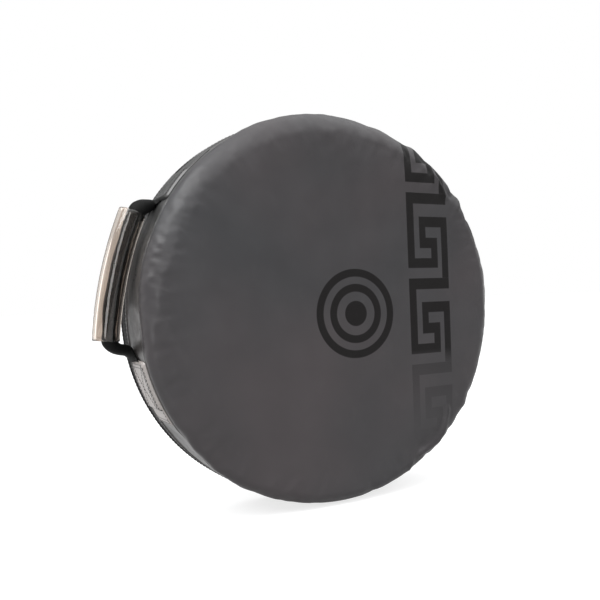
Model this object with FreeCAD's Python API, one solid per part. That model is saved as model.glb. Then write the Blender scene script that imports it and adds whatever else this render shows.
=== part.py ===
import FreeCAD, Part
import math
import os

# Round hand-held punch shield: a foam disc in a vinyl cover, with a sleeved
# carrying handle on its side, a hand grip and a forearm strap on its back,
# and a zip in the rear of its side wall.
#
# Frame: +X to the right when facing the strike face, +Y into the pad, +Z up.
# The origin is the centre of the strike face. Angles round the rim are taken
# about the pad's axis from +X towards +Z. Lengths are in millimetres.

# ---- driving dimensions ----------------------------------------------------

PAD_RADIUS = 200.0
PAD_DEPTH = 85.0
SKIN = 1.2                      # coated vinyl
SKIN_GAP = 0.3                  # slack between the cover and the foam
FACE_ROUND = 13.0               # soft rim of the strike face
GUSSET_START = 16.0             # where the face cover meets the side wall
REAR_STRIP_START = 66.0         # where the rear strip with the zip begins
BINDING_WIDTH = 4.0
BINDING_INSET = 3.0
BINDING_PROUD = 0.6
LAP_SEAM_Y = (61.0, 65.0)
LAP_SEAM_PROUD = 1.0

STRIKE_FOAM_END = 16.0          # firm layer behind the strike face
FRONT_CORE_END = 46.0
REAR_CORE_END = 73.5

# zip in the rear strip, from a closed end near the top to the lower left
ZIP_START = 60.0
ZIP_END = 250.0
ZIP_WINDOW_Y = (69.0, 79.0)
ZIP_COIL_Y = (72.6, 75.4)
ZIP_COIL_PROUD = 0.4
ZIP_COIL_BED = 0.2              # the coil is let this far into the foam side
ZIP_TAPE = 0.8
ZIP_STOP_MARGIN = 0.3           # degrees
ZIP_STOP_SPAN = 1.2             # degrees
SLIDER_ANGLE = 63.4
SLIDER_SPAN = 2.6               # degrees
SLIDER_Y = (70.0, 78.0)
SLIDER_PLATE = (201.0, 202.4)   # inner and outer radius of its top plate
SLIDER_FLANGE = 1.2
SLIDER_FLANGE_RADIUS = 199.9
LUG_GAP = 4.4                   # between the outer sides of the slider's two lugs
LUG_THICK = 0.9
LUG_SPAN = 0.7                  # degrees
LUG_RIM = 1.2                   # metal round the pin
PULL_PIN_RADIUS = 0.7
PULL_PIN_AT = 204.2             # distance from the pad's axis
PULL_CLEARANCE = 0.08
PULL_EYE_RADIUS = 1.5
PULL_EYE_HALF = 1.1             # half the eye's width
PULL_NECK_END = 6.0
PULL_BLADE_START = 5.0
PULL_CORNER = 2.4
PULL_LENGTH = 28.0
PULL_WIDTH = 7.0
PULL_THICK = 1.4
PULL_TILT = 9.5                 # degrees inward, so that its tip rests on the wall

# webbing and sleeves, shared by the side handle and the rear grip
WEB = 1.6
GRIP_WEB_WIDTH = 38.0
SLEEVE_OUTER = 12.25
SLEEVE_INNER = 9.25
SLEEVE_BOW = 4.5
ROLL_RADIUS = 7.6               # webbing rolled up inside the sleeve
ROLL_OFFSET = 1.2               # the roll lies towards the pad
MOUTH_WIDTH = 13.0              # webbing where it leaves the sleeve
MOUTH_THICK = 7.0
PATCH = 1.2                     # vinyl patch over a webbing end

# side handle
HANDLE_Y = 40.0
SLEEVE_LOW = (225.5, 185.3)     # radius and angle of the sleeve's lower end
SLEEVE_HIGH = (218.4, 154.0)
UPPER_WEB_END = (139.0, 149.0)  # webbing flat on the wall, in degrees
LOWER_WEB_END = (191.0, 200.0)
UPPER_PATCH = (128.5, 147.5)
LOWER_PATCH = (192.0, 211.0)
PATCH_Y = (19.0, 61.0)

# rear hand grip, upright on the left of the back
GRIP_X = -70.0
GRIP_RISE = 40.0
GRIP_HALF = 60.0
GRIP_FOOT = (84.0, 112.0)
GRIP_PATCH_Z = (90.0, 118.0)
GRIP_PATCH_WIDTH = 50.0

# forearm strap, an upright arch on the right of the back
ARM_X = 75.0
ARM_WEB = 1.8
ARM_WEB_WIDTH = 50.0
ARM_SPAN = 180.0
ARM_RISE = 72.0
ARM_FOOT_LIFT = 3.0
ARM_ARCH_HALF = 50.0            # degrees of the arch that swing as one piece
ARM_PAD_HALF = 42.0             # degrees
ARM_PAD_THICK = 10.0
ARM_PAD_WIDTH = 60.0
ARM_UPPER_LEG_END = 77.9        # degrees
ARM_LOWER_LEG_END = -67.0       # degrees
FASTENER = 1.0                  # thickness of the hook and of the loop tape
FASTENER_WIDTH = 46.0
FASTENER_GAP = 0.3
LOOP_TAPE = (-47.0, -5.0)       # degrees
HOOK_TAPE = (-44.0, -8.0)
TAIL = (-47.0, 0.0)
ARM_FOOT = (90.0, 130.0)
ARM_PATCH_Z = (97.0, 137.0)
ARM_PATCH_WIDTH = 62.0
RING_WIRE = 2.0                 # radius
RING_HALF_WIDTH = 28.0
RING_LENGTH = 12.0
RING_BEND = 4.0                 # radius of its corners, at the wire's middle
RING_ANGLE = -68.9              # degrees, its upper bar on the arch
RING_BAR_RADIUS = 95.2
KEEPER_WIDTH = 48.0
KEEPER_TURN = (2.3, 4.2)        # inner and outer radius round a bar
PASSAGE_SPARE = 1.0             # the passage round a bar is this much wider than the webbing

# ---- derived values --------------------------------------------------------

AXIS = FreeCAD.Vector(0, -1, 0)     # turns a point from +X towards +Z
ORIGIN = FreeCAD.Vector(0, 0, 0)
X_DIRECTION = FreeCAD.Vector(1, 0, 0)
Y_DIRECTION = FreeCAD.Vector(0, 1, 0)
INNER_RADIUS = PAD_RADIUS - SKIN
FOAM_RADIUS = INNER_RADIUS - SKIN_GAP
BINDING_START = PAD_DEPTH - BINDING_WIDTH
ARCH_RADIUS = ARM_SPAN ** 2 / (8 * ARM_RISE) + ARM_RISE / 2
ARCH_CENTRE = FreeCAD.Vector(ARM_X, PAD_DEPTH + ARM_FOOT_LIFT + ARM_RISE - ARCH_RADIUS, 0)
ARM_OUTER = ARCH_RADIUS + ARM_WEB
HOOK_START = ARM_OUTER + FASTENER + FASTENER_GAP
TAIL_START = HOOK_START + FASTENER


# ---- shared shapes ---------------------------------------------------------

def rim_point(radius, y, angle):
    turn = math.radians(angle)
    return FreeCAD.Vector(radius * math.cos(turn), y, radius * math.sin(turn))


def polygon(points):
    return Part.makePolygon(points + points[:1])


def box(x, y, z):
    """A block between the (low, high) pairs x, y and z."""
    corner = FreeCAD.Vector(x[0], y[0], z[0])
    return Part.makeBox(x[1] - x[0], y[1] - y[0], z[1] - z[0], corner)


def spread(middle, width):
    return (middle - width / 2, middle + width / 2)


def band(radii, depths, angles=(0.0, 360.0)):
    """A rectangular section turned about the pad's axis."""
    corners = [
        FreeCAD.Vector(radii[0], depths[0], 0),
        FreeCAD.Vector(radii[1], depths[0], 0),
        FreeCAD.Vector(radii[1], depths[1], 0),
        FreeCAD.Vector(radii[0], depths[1], 0),
    ]
    section = Part.Face(polygon(corners))
    section.rotate(ORIGIN, AXIS, angles[0])
    return section.revolve(ORIGIN, AXIS, angles[1] - angles[0])


def rim_arc(radius):
    """The rim's rounding seen in section, from the face to the side wall."""
    centre_r = PAD_RADIUS - FACE_ROUND
    points = []
    for angle in (-90.0, -45.0, 0.0):
        turn = math.radians(angle)
        x = centre_r + radius * math.cos(turn)
        y = FACE_ROUND + radius * math.sin(turn)
        points.append(FreeCAD.Vector(x, y, 0))
    return points


def rounded_disc(inset, y_end):
    """A disc that follows the cover's outside at a depth of inset."""
    flat, middle, wall = rim_arc(FACE_ROUND - inset)
    rim_end = FreeCAD.Vector(wall.x, y_end, 0)
    axis_end = FreeCAD.Vector(0, y_end, 0)
    axis_start = FreeCAD.Vector(0, inset, 0)
    edges = [
        Part.makeLine(axis_start, flat),
        Part.Arc(flat, middle, wall).toShape(),
        Part.makeLine(wall, rim_end),
        Part.makeLine(rim_end, axis_end),
        Part.makeLine(axis_end, axis_start),
    ]
    section = Part.Face(Part.Wire(edges))
    return section.revolve(ORIGIN, Y_DIRECTION, 360)


def disc(radius, depths):
    start = FreeCAD.Vector(0, depths[0], 0)
    return Part.makeCylinder(radius, depths[1] - depths[0], start, Y_DIRECTION)


def rod(radius, start, end):
    direction = end.sub(start)
    return Part.makeCylinder(radius, direction.Length, start, direction)


def cross_rod(radius, centre, width):
    """A rod along X, centred on a point."""
    half = FreeCAD.Vector(width / 2, 0, 0)
    return rod(radius, centre.sub(half), centre.add(half))


class SleeveLine:
    """The gently bowed middle line of a sleeved grip, an arc between two points."""

    def __init__(self, low, high, outward):
        chord = high.sub(low)
        half = chord.Length / 2
        radius = (half ** 2 + SLEEVE_BOW ** 2) / (2 * SLEEVE_BOW)
        middle = low.add(high).multiply(0.5)
        self.low = low
        self.high = high
        self.centre = middle.sub(FreeCAD.Vector(outward).multiply(radius - SLEEVE_BOW))
        self.turn_axis = low.sub(self.centre).cross(high.sub(self.centre)).normalize()
        self.turn = math.degrees(2 * math.asin(half / radius))

    def outward(self, end):
        return end.sub(self.centre).normalize()

    def bent_rod(self, radius, offset=0.0):
        """A round rod along the line, moved towards the pad by offset."""
        out = self.outward(self.low)
        tangent = self.turn_axis.cross(out)
        middle = self.low.sub(out.multiply(offset))
        section = Part.Face(Part.Wire(Part.makeCircle(radius, middle, tangent)))
        return section.revolve(self.centre, self.turn_axis, self.turn)

    def mouth(self, end):
        """The outline of the webbing where it leaves the sleeve's end."""
        out = self.outward(end)
        middle = end.sub(FreeCAD.Vector(out).multiply(ROLL_OFFSET))
        return rectangle(middle, self.turn_axis, MOUTH_WIDTH, out, MOUTH_THICK)


def rectangle(middle, across, width, up, height):
    """A rectangle about a point, from two unit directions."""
    side = FreeCAD.Vector(across).multiply(width / 2)
    rise = FreeCAD.Vector(up).multiply(height / 2)
    corners = [
        middle.sub(side).sub(rise),
        middle.add(side).sub(rise),
        middle.add(side).add(rise),
        middle.sub(side).add(rise),
    ]
    return polygon(corners)


def save(name, shape):
    shape.exportStep(f"parts/{name}.step")


# ---- cover -----------------------------------------------------------------

def make_cover():
    outside = rounded_disc(0.0, GUSSET_START)
    inside = rounded_disc(SKIN, GUSSET_START)
    save("front_cover", outside.cut(inside))

    wall = (INNER_RADIUS, PAD_RADIUS)
    save("side_gusset", band(wall, (GUSSET_START, REAR_STRIP_START)))

    lap = (PAD_RADIUS, PAD_RADIUS + LAP_SEAM_PROUD)
    save("gusset_lap_seam", band(lap, LAP_SEAM_Y))

    strip = band(wall, (REAR_STRIP_START, BINDING_START))
    window = band((INNER_RADIUS - 1, PAD_RADIUS + 1), ZIP_WINDOW_Y, (ZIP_START, ZIP_END))
    save("rear_strip", strip.cut(window))

    binding_inner = PAD_RADIUS - BINDING_INSET
    binding = band((binding_inner, PAD_RADIUS + BINDING_PROUD), (BINDING_START, PAD_DEPTH))
    save("back_binding", binding)
    save("back_panel", disc(binding_inner, (PAD_DEPTH - SKIN, PAD_DEPTH)))


def make_foam():
    save("strike_foam", rounded_disc(SKIN + SKIN_GAP, STRIKE_FOAM_END))
    save("core_foam_front", disc(FOAM_RADIUS, (STRIKE_FOAM_END, FRONT_CORE_END)))
    save("core_foam_rear", disc(FOAM_RADIUS, (FRONT_CORE_END, REAR_CORE_END)))
    # the backing stops short of the binding, which is sewn through the cover only
    backing_radius = PAD_RADIUS - BINDING_INSET - SKIN_GAP
    backing_end = PAD_DEPTH - SKIN - SKIN_GAP
    save("backing_foam", disc(backing_radius, (REAR_CORE_END, backing_end)))


# ---- zip -------------------------------------------------------------------

def make_zip():
    tape = (INNER_RADIUS, INNER_RADIUS + ZIP_TAPE)
    whole = (ZIP_START, ZIP_END)
    save("zip_tape_front", band(tape, (ZIP_WINDOW_Y[0], ZIP_COIL_Y[0]), whole))
    save("zip_tape_rear", band(tape, (ZIP_COIL_Y[1], ZIP_WINDOW_Y[1]), whole))

    chain = (INNER_RADIUS - ZIP_COIL_BED, PAD_RADIUS + ZIP_COIL_PROUD)
    stop = (INNER_RADIUS - ZIP_COIL_BED, PAD_RADIUS + 2 * ZIP_COIL_PROUD)
    first = (ZIP_START + ZIP_STOP_MARGIN, ZIP_START + ZIP_STOP_MARGIN + ZIP_STOP_SPAN)
    last = (ZIP_END - ZIP_STOP_MARGIN - ZIP_STOP_SPAN, ZIP_END - ZIP_STOP_MARGIN)
    save("zip_coil", band(chain, ZIP_COIL_Y, (first[1], last[0])))
    stops = [band(stop, ZIP_COIL_Y, first), band(stop, ZIP_COIL_Y, last)]
    save("zip_end_stops", Part.makeCompound(stops))
    make_slider()


def make_slider():
    """The slider's top half, which rides on the coil, and its pull tab."""
    angles = spread(SLIDER_ANGLE, SLIDER_SPAN)
    middle_y = sum(SLIDER_Y) / 2
    pin_y = spread(middle_y, LUG_GAP)
    slider = band(SLIDER_PLATE, SLIDER_Y, angles)
    flange_radii = (SLIDER_FLANGE_RADIUS, SLIDER_PLATE[1])
    lug_radii = (SLIDER_PLATE[1], PULL_PIN_AT + LUG_RIM)
    lug_angles = spread(SLIDER_ANGLE, LUG_SPAN)
    for edge, inward in ((SLIDER_Y[0], 1), (SLIDER_Y[1], -1)):
        flange = sorted((edge, edge + inward * SLIDER_FLANGE))
        slider = slider.fuse(band(flange_radii, flange, angles))
    for edge, outward in ((pin_y[0], -1), (pin_y[1], 1)):
        lug = sorted((edge, edge - outward * LUG_THICK))
        slider = slider.fuse(band(lug_radii, lug, lug_angles))
    pin_start = rim_point(PULL_PIN_AT, pin_y[0], SLIDER_ANGLE)
    pin_end = rim_point(PULL_PIN_AT, pin_y[1], SLIDER_ANGLE)
    slider = slider.fuse(rod(PULL_PIN_RADIUS, pin_start, pin_end)).removeSplitter()
    save("zip_slider", slider)

    # the pull is made lying along +X from its eye, then turned into place
    eye_start = FreeCAD.Vector(0, -PULL_EYE_HALF, 0)
    eye = Part.makeCylinder(PULL_EYE_RADIUS, 2 * PULL_EYE_HALF, eye_start, Y_DIRECTION)
    thick = spread(0.0, PULL_THICK)
    neck = box((0.0, PULL_NECK_END), (-PULL_EYE_HALF, PULL_EYE_HALF), thick)
    blade = box((PULL_BLADE_START, PULL_LENGTH), spread(0.0, PULL_WIDTH), thick)
    corners = [e for e in blade.Edges if abs(e.tangentAt(e.FirstParameter).z) > 0.99]
    blade = blade.makeFillet(PULL_CORNER, corners)
    hole = Part.makeCylinder(
        PULL_PIN_RADIUS + PULL_CLEARANCE, 4 * PULL_EYE_HALF, eye_start.multiply(2), Y_DIRECTION)
    pull = eye.fuse(neck).fuse(blade).cut(hole).removeSplitter()
    pull.rotate(ORIGIN, AXIS, SLIDER_ANGLE - 90 - PULL_TILT)
    pull.translate(rim_point(PULL_PIN_AT, middle_y, SLIDER_ANGLE))
    save("zip_pull", pull)


# ---- sleeved grips ---------------------------------------------------------

def make_sleeve(prefix, line):
    outer = line.bent_rod(SLEEVE_OUTER)
    inner = line.bent_rod(SLEEVE_INNER)
    save(f"{prefix}_sleeve", outer.cut(inner))
    save(f"{prefix}_webbing_roll", line.bent_rod(ROLL_RADIUS, ROLL_OFFSET))


def make_side_handle():
    low = rim_point(SLEEVE_LOW[0], HANDLE_Y, SLEEVE_LOW[1])
    high = rim_point(SLEEVE_HIGH[0], HANDLE_Y, SLEEVE_HIGH[1])
    chord = high.sub(low).normalize()
    line = SleeveLine(low, high, chord.cross(Y_DIRECTION))
    make_sleeve("side", line)

    web_y = spread(HANDLE_Y, GRIP_WEB_WIDTH)
    web_radii = (PAD_RADIUS, PAD_RADIUS + WEB)
    patch_radii = (PAD_RADIUS, PAD_RADIUS + WEB + PATCH)
    sides = (
        ("upper", UPPER_WEB_END, UPPER_WEB_END[1], UPPER_PATCH, high),
        ("lower", LOWER_WEB_END, LOWER_WEB_END[0], LOWER_PATCH, low),
    )
    for side, web_angles, lift_angle, patch_angles, mouth in sides:
        web_end = band(web_radii, web_y, web_angles)
        save(f"side_webbing_end_{side}", web_end)
        patch = band(patch_radii, PATCH_Y, patch_angles)
        save(f"side_patch_{side}", patch.cut(web_end))
        lift = rim_point(PAD_RADIUS + WEB / 2, HANDLE_Y, lift_angle)
        out = FreeCAD.Vector(lift.x, 0, lift.z).normalize()
        foot = rectangle(lift, Y_DIRECTION, GRIP_WEB_WIDTH, out, WEB)
        save(f"side_webbing_leg_{side}", joined(line.mouth(mouth), foot, Y_DIRECTION))


def joined(mouth, foot, across):
    """A strap leg between the sleeve's mouth and the strap's foot, ruled between them."""
    def side(wire, sign):
        return sorted(wire.Vertexes, key=lambda v: sign * v.Point.dot(across))[:2]

    def ordered(wire, up):
        low = sorted(side(wire, 1), key=lambda v: v.Point.dot(up))
        high = sorted(side(wire, -1), key=lambda v: -v.Point.dot(up))
        return polygon([v.Point for v in low + high])

    middle = foot.BoundBox.Center
    away = mouth.BoundBox.Center.sub(middle)
    up = away.sub(FreeCAD.Vector(across).multiply(away.dot(across))).normalize()
    return Part.makeLoft([ordered(mouth, up), ordered(foot, up)], True, True)


def make_rear_grip():
    y = PAD_DEPTH + GRIP_RISE
    low = FreeCAD.Vector(GRIP_X, y, -GRIP_HALF)
    high = FreeCAD.Vector(GRIP_X, y, GRIP_HALF)
    line = SleeveLine(low, high, Y_DIRECTION)
    make_sleeve("grip", line)

    web_x = spread(GRIP_X, GRIP_WEB_WIDTH)
    patch_x = spread(GRIP_X, GRIP_PATCH_WIDTH)
    for side, sign, mouth in (("upper", 1, high), ("lower", -1, low)):
        web_z = sorted(sign * z for z in GRIP_FOOT)
        web_end = box(web_x, (PAD_DEPTH, PAD_DEPTH + WEB), web_z)
        save(f"grip_webbing_end_{side}", web_end)
        patch_z = sorted(sign * z for z in GRIP_PATCH_Z)
        patch = box(patch_x, (PAD_DEPTH, PAD_DEPTH + WEB + PATCH), patch_z)
        save(f"grip_patch_{side}", patch.cut(web_end))
        lift = FreeCAD.Vector(GRIP_X, PAD_DEPTH + WEB / 2, sign * GRIP_FOOT[0])
        foot = rectangle(lift, X_DIRECTION, GRIP_WEB_WIDTH, Y_DIRECTION, WEB)
        save(f"grip_webbing_leg_{side}", joined(line.mouth(mouth), foot, X_DIRECTION))


# ---- forearm strap ---------------------------------------------------------

def arch_band(radii, width, angles):
    """A strap section turned about the arch's axis, from +Y towards +Z."""
    depths = (ARCH_CENTRE.y + radii[0], ARCH_CENTRE.y + radii[1])
    across = spread(ARM_X, width)
    corners = [
        FreeCAD.Vector(across[0], depths[0], 0),
        FreeCAD.Vector(across[1], depths[0], 0),
        FreeCAD.Vector(across[1], depths[1], 0),
        FreeCAD.Vector(across[0], depths[1], 0),
    ]
    section = Part.Face(polygon(corners))
    section.rotate(ARCH_CENTRE, X_DIRECTION, angles[0])
    return section.revolve(ARCH_CENTRE, X_DIRECTION, angles[1] - angles[0])


def arch_point(radius, angle):
    turn = math.radians(angle)
    offset = FreeCAD.Vector(0, radius * math.cos(turn), radius * math.sin(turn))
    return ARCH_CENTRE.add(offset)


def wire_loop(radius, corners, bend):
    """A closed loop of round wire through four corners, each bent to a radius."""
    loop = None
    before = corners[-1:] + corners[:-1]
    after = corners[1:] + corners[:1]
    for last, corner, following in zip(before, corners, after):
        arrive = corner.sub(last).normalize()
        leave = following.sub(corner).normalize()
        bend_start = corner.sub(FreeCAD.Vector(arrive).multiply(bend))
        centre = bend_start.add(FreeCAD.Vector(leave).multiply(bend))
        section = Part.Face(Part.Wire(Part.makeCircle(radius, bend_start, arrive)))
        piece = section.revolve(centre, arrive.cross(leave), 90)
        run_start = corner.add(FreeCAD.Vector(leave).multiply(bend))
        run_end = following.sub(FreeCAD.Vector(leave).multiply(bend))
        piece = piece.fuse(rod(radius, run_start, run_end))
        loop = loop.fuse(piece) if loop else piece
    return loop.removeSplitter()


def make_ring():
    """The wire ring and the webbing that wraps round its two bars."""
    turn = math.radians(RING_ANGLE)
    down = FreeCAD.Vector(0, math.sin(turn), -math.cos(turn))
    upper_bar = arch_point(RING_BAR_RADIUS, RING_ANGLE)
    lower_bar = upper_bar.add(down.multiply(RING_LENGTH))
    half = FreeCAD.Vector(RING_HALF_WIDTH, 0, 0)
    corners = [
        upper_bar.sub(half), upper_bar.add(half),
        lower_bar.add(half), lower_bar.sub(half),
    ]
    ring = wire_loop(RING_WIRE, corners, RING_BEND)
    save("arm_ring", ring)

    def wrap(bar, width):
        return cross_rod(KEEPER_TURN[1], bar, width)

    def passage(bar):
        return cross_rod(KEEPER_TURN[0], bar, ARM_WEB_WIDTH + PASSAGE_SPARE)

    keeper_x = spread(ARM_X, KEEPER_WIDTH)
    foot_z = (-ARM_FOOT[1], lower_bar.z)
    foot = box(keeper_x, (PAD_DEPTH, PAD_DEPTH + 2 * WEB), foot_z)
    keeper = foot.fuse(wrap(lower_bar, KEEPER_WIDTH)).cut(passage(lower_bar))
    floor = box(spread(ARM_X, 2 * ARM_WEB_WIDTH), (0.0, PAD_DEPTH), (-PAD_RADIUS, 0.0))
    keeper = keeper.cut(floor).removeSplitter()
    save("ring_keeper", keeper)
    patch = box(
        spread(ARM_X, ARM_PATCH_WIDTH),
        (PAD_DEPTH, PAD_DEPTH + 2 * WEB + PATCH),
        (-ARM_PATCH_Z[1], -ARM_PATCH_Z[0]))
    save("arm_patch_lower", patch.cut(keeper))

    # both layers of the strap, turned round the ring's upper bar
    doubled = (ARCH_RADIUS, TAIL_START + ARM_WEB)
    leg = arch_band(doubled, ARM_WEB_WIDTH, (ARM_LOWER_LEG_END, -ARM_ARCH_HALF))
    leg = leg.fuse(wrap(upper_bar, ARM_WEB_WIDTH)).cut(passage(upper_bar))
    save("arm_webbing_leg_lower", leg.removeSplitter())


def make_arm_strap():
    webbing = (ARCH_RADIUS, ARM_OUTER)
    whole = (-ARM_ARCH_HALF, ARM_ARCH_HALF)
    save("arm_webbing", arch_band(webbing, ARM_WEB_WIDTH, whole))
    cushion = (ARCH_RADIUS - ARM_PAD_THICK, ARCH_RADIUS)
    save("arm_pad", arch_band(cushion, ARM_PAD_WIDTH, (-ARM_PAD_HALF, ARM_PAD_HALF)))
    upper_leg = (ARM_ARCH_HALF, ARM_UPPER_LEG_END)
    save("arm_webbing_leg_upper", arch_band(webbing, ARM_WEB_WIDTH, upper_leg))
    loop = (ARM_OUTER, ARM_OUTER + FASTENER)
    save("loop_tape", arch_band(loop, FASTENER_WIDTH, LOOP_TAPE))
    save("hook_tape", arch_band((HOOK_START, TAIL_START), FASTENER_WIDTH, HOOK_TAPE))
    save("arm_tail", arch_band((TAIL_START, TAIL_START + ARM_WEB), ARM_WEB_WIDTH, TAIL))

    web_end = box(spread(ARM_X, ARM_WEB_WIDTH), (PAD_DEPTH, PAD_DEPTH + ARM_WEB), ARM_FOOT)
    save("arm_webbing_end", web_end)
    patch = box(
        spread(ARM_X, ARM_PATCH_WIDTH),
        (PAD_DEPTH, PAD_DEPTH + ARM_WEB + PATCH),
        ARM_PATCH_Z)
    save("arm_patch_upper", patch.cut(web_end))
    make_ring()


make_cover()
make_foam()
make_zip()
make_side_handle()
make_rear_grip()
make_arm_strap()
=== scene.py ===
"""Looks of the round punch shield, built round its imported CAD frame. Lengths are in mm unless said."""
import math
import random

import bpy
import bmesh
import numpy as np
from mathutils import Matrix, Vector, noise


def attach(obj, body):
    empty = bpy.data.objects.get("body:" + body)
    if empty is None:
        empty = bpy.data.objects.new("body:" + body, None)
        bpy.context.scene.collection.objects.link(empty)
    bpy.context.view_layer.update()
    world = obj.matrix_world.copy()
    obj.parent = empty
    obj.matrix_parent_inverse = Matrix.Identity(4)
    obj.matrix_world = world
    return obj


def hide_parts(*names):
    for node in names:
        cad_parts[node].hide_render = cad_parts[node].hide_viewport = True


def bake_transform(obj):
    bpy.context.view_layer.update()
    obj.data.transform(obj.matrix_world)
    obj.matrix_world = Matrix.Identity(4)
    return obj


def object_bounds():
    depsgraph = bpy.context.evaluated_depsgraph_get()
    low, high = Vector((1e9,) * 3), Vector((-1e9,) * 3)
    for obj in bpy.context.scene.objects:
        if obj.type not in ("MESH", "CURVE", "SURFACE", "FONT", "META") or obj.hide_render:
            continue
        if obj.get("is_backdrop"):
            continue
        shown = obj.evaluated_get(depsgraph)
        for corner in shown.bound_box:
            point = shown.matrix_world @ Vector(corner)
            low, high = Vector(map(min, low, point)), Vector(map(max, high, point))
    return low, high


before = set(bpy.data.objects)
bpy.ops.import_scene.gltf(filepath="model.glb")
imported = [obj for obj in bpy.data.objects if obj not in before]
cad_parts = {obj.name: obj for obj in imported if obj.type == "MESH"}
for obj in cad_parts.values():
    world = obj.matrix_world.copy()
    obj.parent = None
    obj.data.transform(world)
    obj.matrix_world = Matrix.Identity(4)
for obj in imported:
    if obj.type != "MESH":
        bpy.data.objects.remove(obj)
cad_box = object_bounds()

MM = 0.001
draw = random.Random(11)
scene = bpy.context.scene

# ------------------------------------------------------------------ sizes, as in the CAD part
PAD_RADIUS = 200.0
PAD_DEPTH = 85.0
FACE_ROUND = 13.0
FLAT_RADIUS = PAD_RADIUS - FACE_ROUND
SKIN = 1.2
SEAM_Y = 16.0               # face cover meets side wall
WALL_END = 66.0             # side wall meets rear strip
STRIP_END = 81.0            # rear strip meets the binding
ZIP_ANGLES = (60.0, 250.0)
ZIP_WINDOW = (69.0, 79.0)
COIL_Y = (72.6, 75.4)       # the zip's teeth
BACK_CORNER = 4.0           # rounding of the back edge
HANDLE_Y = 40.0             # middle of the side handle
WEB = 1.6                   # thickness of the handles' webbing
WEB_WIDTH = 38.0
SLEEVE_OUTER = 12.25
SLEEVE_INNER = 9.25
PATCH = 1.0                 # thickness of a sewn patch
GRIP_X = -70.0              # rear hand grip
ARM_X = 75.0                # forearm strap
ARM_WEB = 1.8               # thickness of its webbing
ARM_WIDTH = 50.0
ARCH_Y = 67.75              # centre of the strap's arch
ARCH_RADIUS = 92.25         # its inside radius

X_AXIS = np.array([1.0, 0.0, 0.0])
Y_AXIS = np.array([0.0, 1.0, 0.0])


# ------------------------------------------------------------------ materials
class Nodes:
    """Short ways to build a node tree whose patterns use one of the texture coordinates."""

    def __init__(self, tree, coordinate):
        self.nodes, self.links = tree.nodes, tree.links
        self.place = self.nodes.new("ShaderNodeTexCoord").outputs[coordinate]

    def feed(self, socket, value):
        if isinstance(value, bpy.types.NodeSocket):
            self.links.new(value, socket)
        else:
            socket.default_value = value

    def node(self, kind, *values, **settings):
        """A new node with its settings made and its first sockets fed."""
        node = self.nodes.new("ShaderNode" + kind)
        for setting, value in settings.items():
            setattr(node, setting, value)
        for socket, value in zip(node.inputs, values):
            self.feed(socket, value)
        return node

    def math(self, operation, *values):
        return self.node("Math", *values, operation=operation).outputs[0]

    def axes(self, source):
        return self.node("SeparateXYZ", source).outputs

    def scaled(self, factors):
        return self.node("VectorMath", self.place, factors, operation="MULTIPLY").outputs[0]

    def noise(self, scale, detail=3.0, place=None):
        node = self.node("TexNoise", place or self.place)
        for socket, value in (("Scale", scale), ("Detail", detail), ("Roughness", 0.55)):
            node.inputs[socket].default_value = value
        return node.outputs["Fac"]

    def cells(self, scale, feature="DISTANCE_TO_EDGE"):
        node = self.node("TexVoronoi", self.place, feature=feature)
        node.inputs["Scale"].default_value = scale
        return node.outputs["Distance"]

    def remap(self, value, from_low, from_high, to_low=0.0, to_high=1.0, smooth=False):
        return self.node("MapRange", value, from_low, from_high, to_low, to_high,
                         interpolation_type="SMOOTHSTEP" if smooth else "LINEAR").outputs[0]

    def spread(self, noise, low=0.0, high=1.0):
        """A noise's usual range, mapped to another."""
        return self.remap(noise, 0.3, 0.7, low, high)

    def straight(self):
        """1 for rays from the camera and for those that only passed through clear pieces, 0 for the rest."""
        rays = self.node("LightPath").outputs
        through = self.math("MULTIPLY", rays["Is Transmission Ray"],
                            self.math("LESS_THAN", rays["Diffuse Depth"], 0.5))
        return self.math("MAXIMUM", rays["Is Camera Ray"], through)


class Surface(Nodes):
    """A procedural material. Object coordinates are metres in the CAD frame."""

    def __init__(self, name, **fixed):
        self.material = bpy.data.materials.new(name)
        self.material.use_nodes = True
        super().__init__(self.material.node_tree, "Object")
        self.shader = self.nodes["Principled BSDF"]
        for socket, value in fixed.items():
            self.shader.inputs[socket.replace("_", " ")].default_value = value
        self.normal = None

    def mix(self, factor, low, high):
        node = self.node("Mix", data_type="RGBA")
        for socket, value in zip((node.inputs[0], node.inputs[6], node.inputs[7]), (factor, low, high)):
            self.feed(socket, value)
        return node.outputs[2]

    def set(self, socket, value):
        self.feed(self.shader.inputs[socket], value)

    def bump(self, height, strength, distance):
        node = self.node("Bump")
        node.inputs["Strength"].default_value = strength
        node.inputs["Distance"].default_value = distance
        self.links.new(height, node.inputs["Height"])
        if self.normal:
            self.links.new(self.normal, node.inputs["Normal"])
        self.normal = node.outputs[0]
        self.links.new(self.normal, self.shader.inputs["Normal"])

    def finish(self, colour, rough, *bumps):
        """The material, once colour, roughness and bumps as (height, strength, distance) are set."""
        self.set("Base Color", colour)
        self.set("Roughness", rough)
        for bump in bumps:
            self.bump(*bump)
        return self.material


def grey(value, warm=1.0, cool=1.0):
    return (value * warm, value, value * cool, 1.0)


def toned(shade, *shares):
    """A colour with its parts multiplied by one share, or by three."""
    return [c * share for c, share in zip(shade[:3], shares * 3)] + [1.0]


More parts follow.
